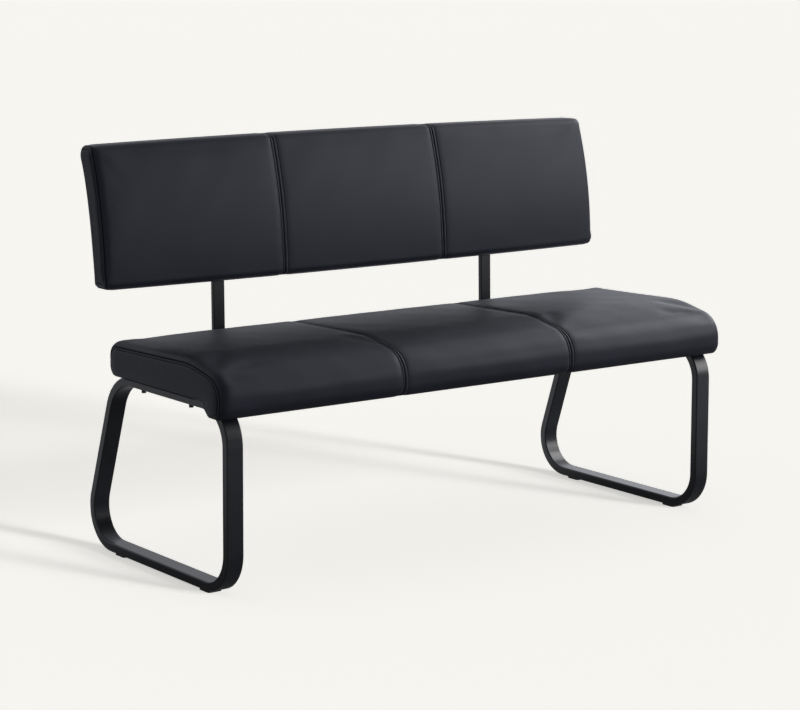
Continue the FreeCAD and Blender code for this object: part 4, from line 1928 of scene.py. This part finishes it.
@dataclass
class Studio:
    """Floor, light and camera.

    Attributes:
        floor_half: Half the width of the floor.
        backdrop: Colour seen behind the bench.
        room: Colour of the room that the bench mirrors.
        fill: Strength of the light from all round.
        dim: Strength of the mirrored room in front.
        left: Strength of the mirrored room behind on the left.
        right: Strength of the mirrored room behind on the right.
        shelf: How much brighter the mirrored room is in a band some way above the horizon.
        side_edge: Where across the mirrored room left goes over to right.
        front_edge: Where along the mirrored room the front goes over to the rear.
        band_low: Where that band comes in, upwards.
        band_high: Where that band goes out, upwards.
        eye: Where the camera stands.
        yaw: Turn of the camera from +Y towards +X.
        pitch: How far it looks down.
        roll: Turn about its line of sight.
        focal: Focal length in pixels of the photograph.
        centre_row: Row of the photograph that the line of sight meets.
    """

    floor_half: float = 40.0
    backdrop: Colour = (0.905, 0.896, 0.863)
    room: Colour = (0.84, 0.86, 0.93)
    fill: float = 0.16
    dim: float = 0.18
    left: float = 0.44
    right: float = 1.75
    shelf: float = 0.9
    side_edge: tuple[float, float] = (0.55, 0.76)
    front_edge: tuple[float, float] = (-0.25, 0.6)
    band_low: tuple[float, float] = (0.17, 0.25)
    band_high: tuple[float, float] = (0.40, 0.55)
    eye: Place = (-3.31641, -4.45244, 1.38987)
    yaw: float = 0.6356
    pitch: float = 0.1262
    roll: float = 0.0035
    focal: float = 2452.16
    centre_row: float = 235.0

    def build(self) -> None:
        """Sets up floor, world, lamps, camera and plain colour."""
        self.floor()
        self.world()
        for lamp in (
            Key("front_light_low", toward=(0.340, -0.934, 0.113), strength=3.0, spread=7.0),
            Key("front_light_high", toward=(0.322, -0.885, 0.340), strength=1.1, spread=14.0),
            SoftBox(
                "right_box", at=(3.8, -3.1, 2.05), aim=(0.2, 0.2, 0.75), size=(2.4, 1.8), power=56.0
            ),
            SoftBox(
                "top_box", at=(3.6, -0.3, 2.8), aim=(0.3, -0.2, 0.45), size=(2.4, 1.0), power=66.0
            ),
        ):
            lamp.build()
        self.camera()
        bpy.context.scene.view_settings.view_transform = "Standard"

    def floor(self) -> None:
        """A flat paper floor: a plain grid at height 0."""
        line = np.linspace(-self.floor_half, self.floor_half, 5)
        u, v = np.meshgrid(line, line, indexing="ij")
        work = Patchwork("floor")
        work.grid(np.stack([u, v, np.zeros_like(u)], axis=-1))
        floor = work.made()
        paper = FloorPaper(
            "floor_paper", paper=(0.98, 0.97, 0.935), own=0.575,
            mirrored=self.room, front=0.28, near=0.10, left=0.45,
        )
        floor.data.materials.append(paper.material())

    def world(self) -> None:
        """Light from all round: the backdrop where it is seen, a room where it is mirrored."""
        world = bpy.data.worlds.new("studio")
        world.use_nodes = True
        bpy.context.scene.world = world
        shader = Shader(world.node_tree)
        straight, gloss = shader.rays()
        x, y, z = shader.axes(shader.node("ShaderNodeTexCoord", out="Generated"))
        rear = self.left + (self.right - self.left) * x.step(*self.side_edge)
        band = 1.0 + self.shelf * (z.step(*self.band_low) - z.step(*self.band_high))
        room = self.dim + y.step(*self.front_edge) * (rear * band - self.dim)
        level = straight.most(gloss * room + (1.0 - gloss) * self.fill)
        colour = shader.blend(gloss, self.backdrop, self.room)
        light = shader.node("ShaderNodeBackground", {}, {"Color": colour, "Strength": level})
        shader.node("ShaderNodeOutputWorld", {}, {"Surface": light})

    def camera(self) -> None:
        """The photograph's camera."""
        data = bpy.data.cameras.new("camera")
        data.sensor_fit, data.sensor_width = "HORIZONTAL", 36.0
        data.lens = self.focal * data.sensor_width / PHOTO_WIDTH
        data.shift_y = (self.centre_row - PHOTO_HEIGHT / 2.0) / PHOTO_WIDTH
        data.clip_end = 200.0
        camera = linked("camera", data)
        level, down = math.cos(self.pitch), math.sin(self.pitch)
        ray = (math.sin(self.yaw) * level, math.cos(self.yaw) * level, -down)
        camera.matrix_world = looking(np.asarray(self.eye), np.asarray(ray), self.roll)
        bpy.context.scene.camera = camera


def main() -> None:
    """Builds the bench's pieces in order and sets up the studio."""
    logging.basicConfig(level=logging.INFO, format="%(message)s")
    leather = Leather(
        "black_leather", face=(0.0034, 0.0038, 0.0060), worn=(0.0056, 0.0062, 0.0092),
        pebble=0.0013, gloss=0.50,
    ).material()
    thread = Thread(
        "black_thread", dark=(0.048, 0.052, 0.062), light=(0.130, 0.138, 0.158)
    ).material()
    tube = PowderCoat(
        "black_powder_coat", coat=(0.0026, 0.0029, 0.0040), dusty=(0.0044, 0.0048, 0.0062),
        gloss=0.32, peel=0.0016,
    ).material()
    plastic = Moulded(
        "black_plastic", body=(0.014, 0.014, 0.015), scuffed=(0.035, 0.035, 0.036)
    ).material()
    zinc = Plated(
        "black_zinc", bright=(0.10, 0.10, 0.105), dull=(0.05, 0.05, 0.052), gloss=0.35
    ).material()
    brass = Plated(
        "brass_insert", bright=(0.60, 0.42, 0.18), dull=(0.35, 0.24, 0.11), gloss=0.3
    ).material()
    ply = Plywood("plywood", early=(0.55, 0.40, 0.24), late=(0.36, 0.23, 0.12)).material()
    lining = LiningCloth(
        "black_lining", fibre=(0.018, 0.018, 0.019), bond=(0.010, 0.010, 0.011), pitch=0.0022
    ).material()

    half_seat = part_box("seat_end_panel_right")[1].x
    half_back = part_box("backrest_end_panel_right")[1].x
    joint = half_back / 3.0
    SeatCushion(
        "seat_cushion", half_seat, panel_seam=joint, end_seam_back=0.0040,
        dome=0.0025, slack=0.0010, swell=0.0022,
    ).dress(leather, thread)
    BackCushion(
        "back_cushion", half_back, panel_seam=joint - 0.0048, end_seam_back=0.0110,
        dome=0.0, slack=0.0010, swell=0.0018,
    ).dress(leather, thread)
    Lining().dress(lining, zinc)
    TubeFrame(tube, plastic, zinc, brass, ply).dress()
    Studio().build()


if __name__ == "__main__":
    main()
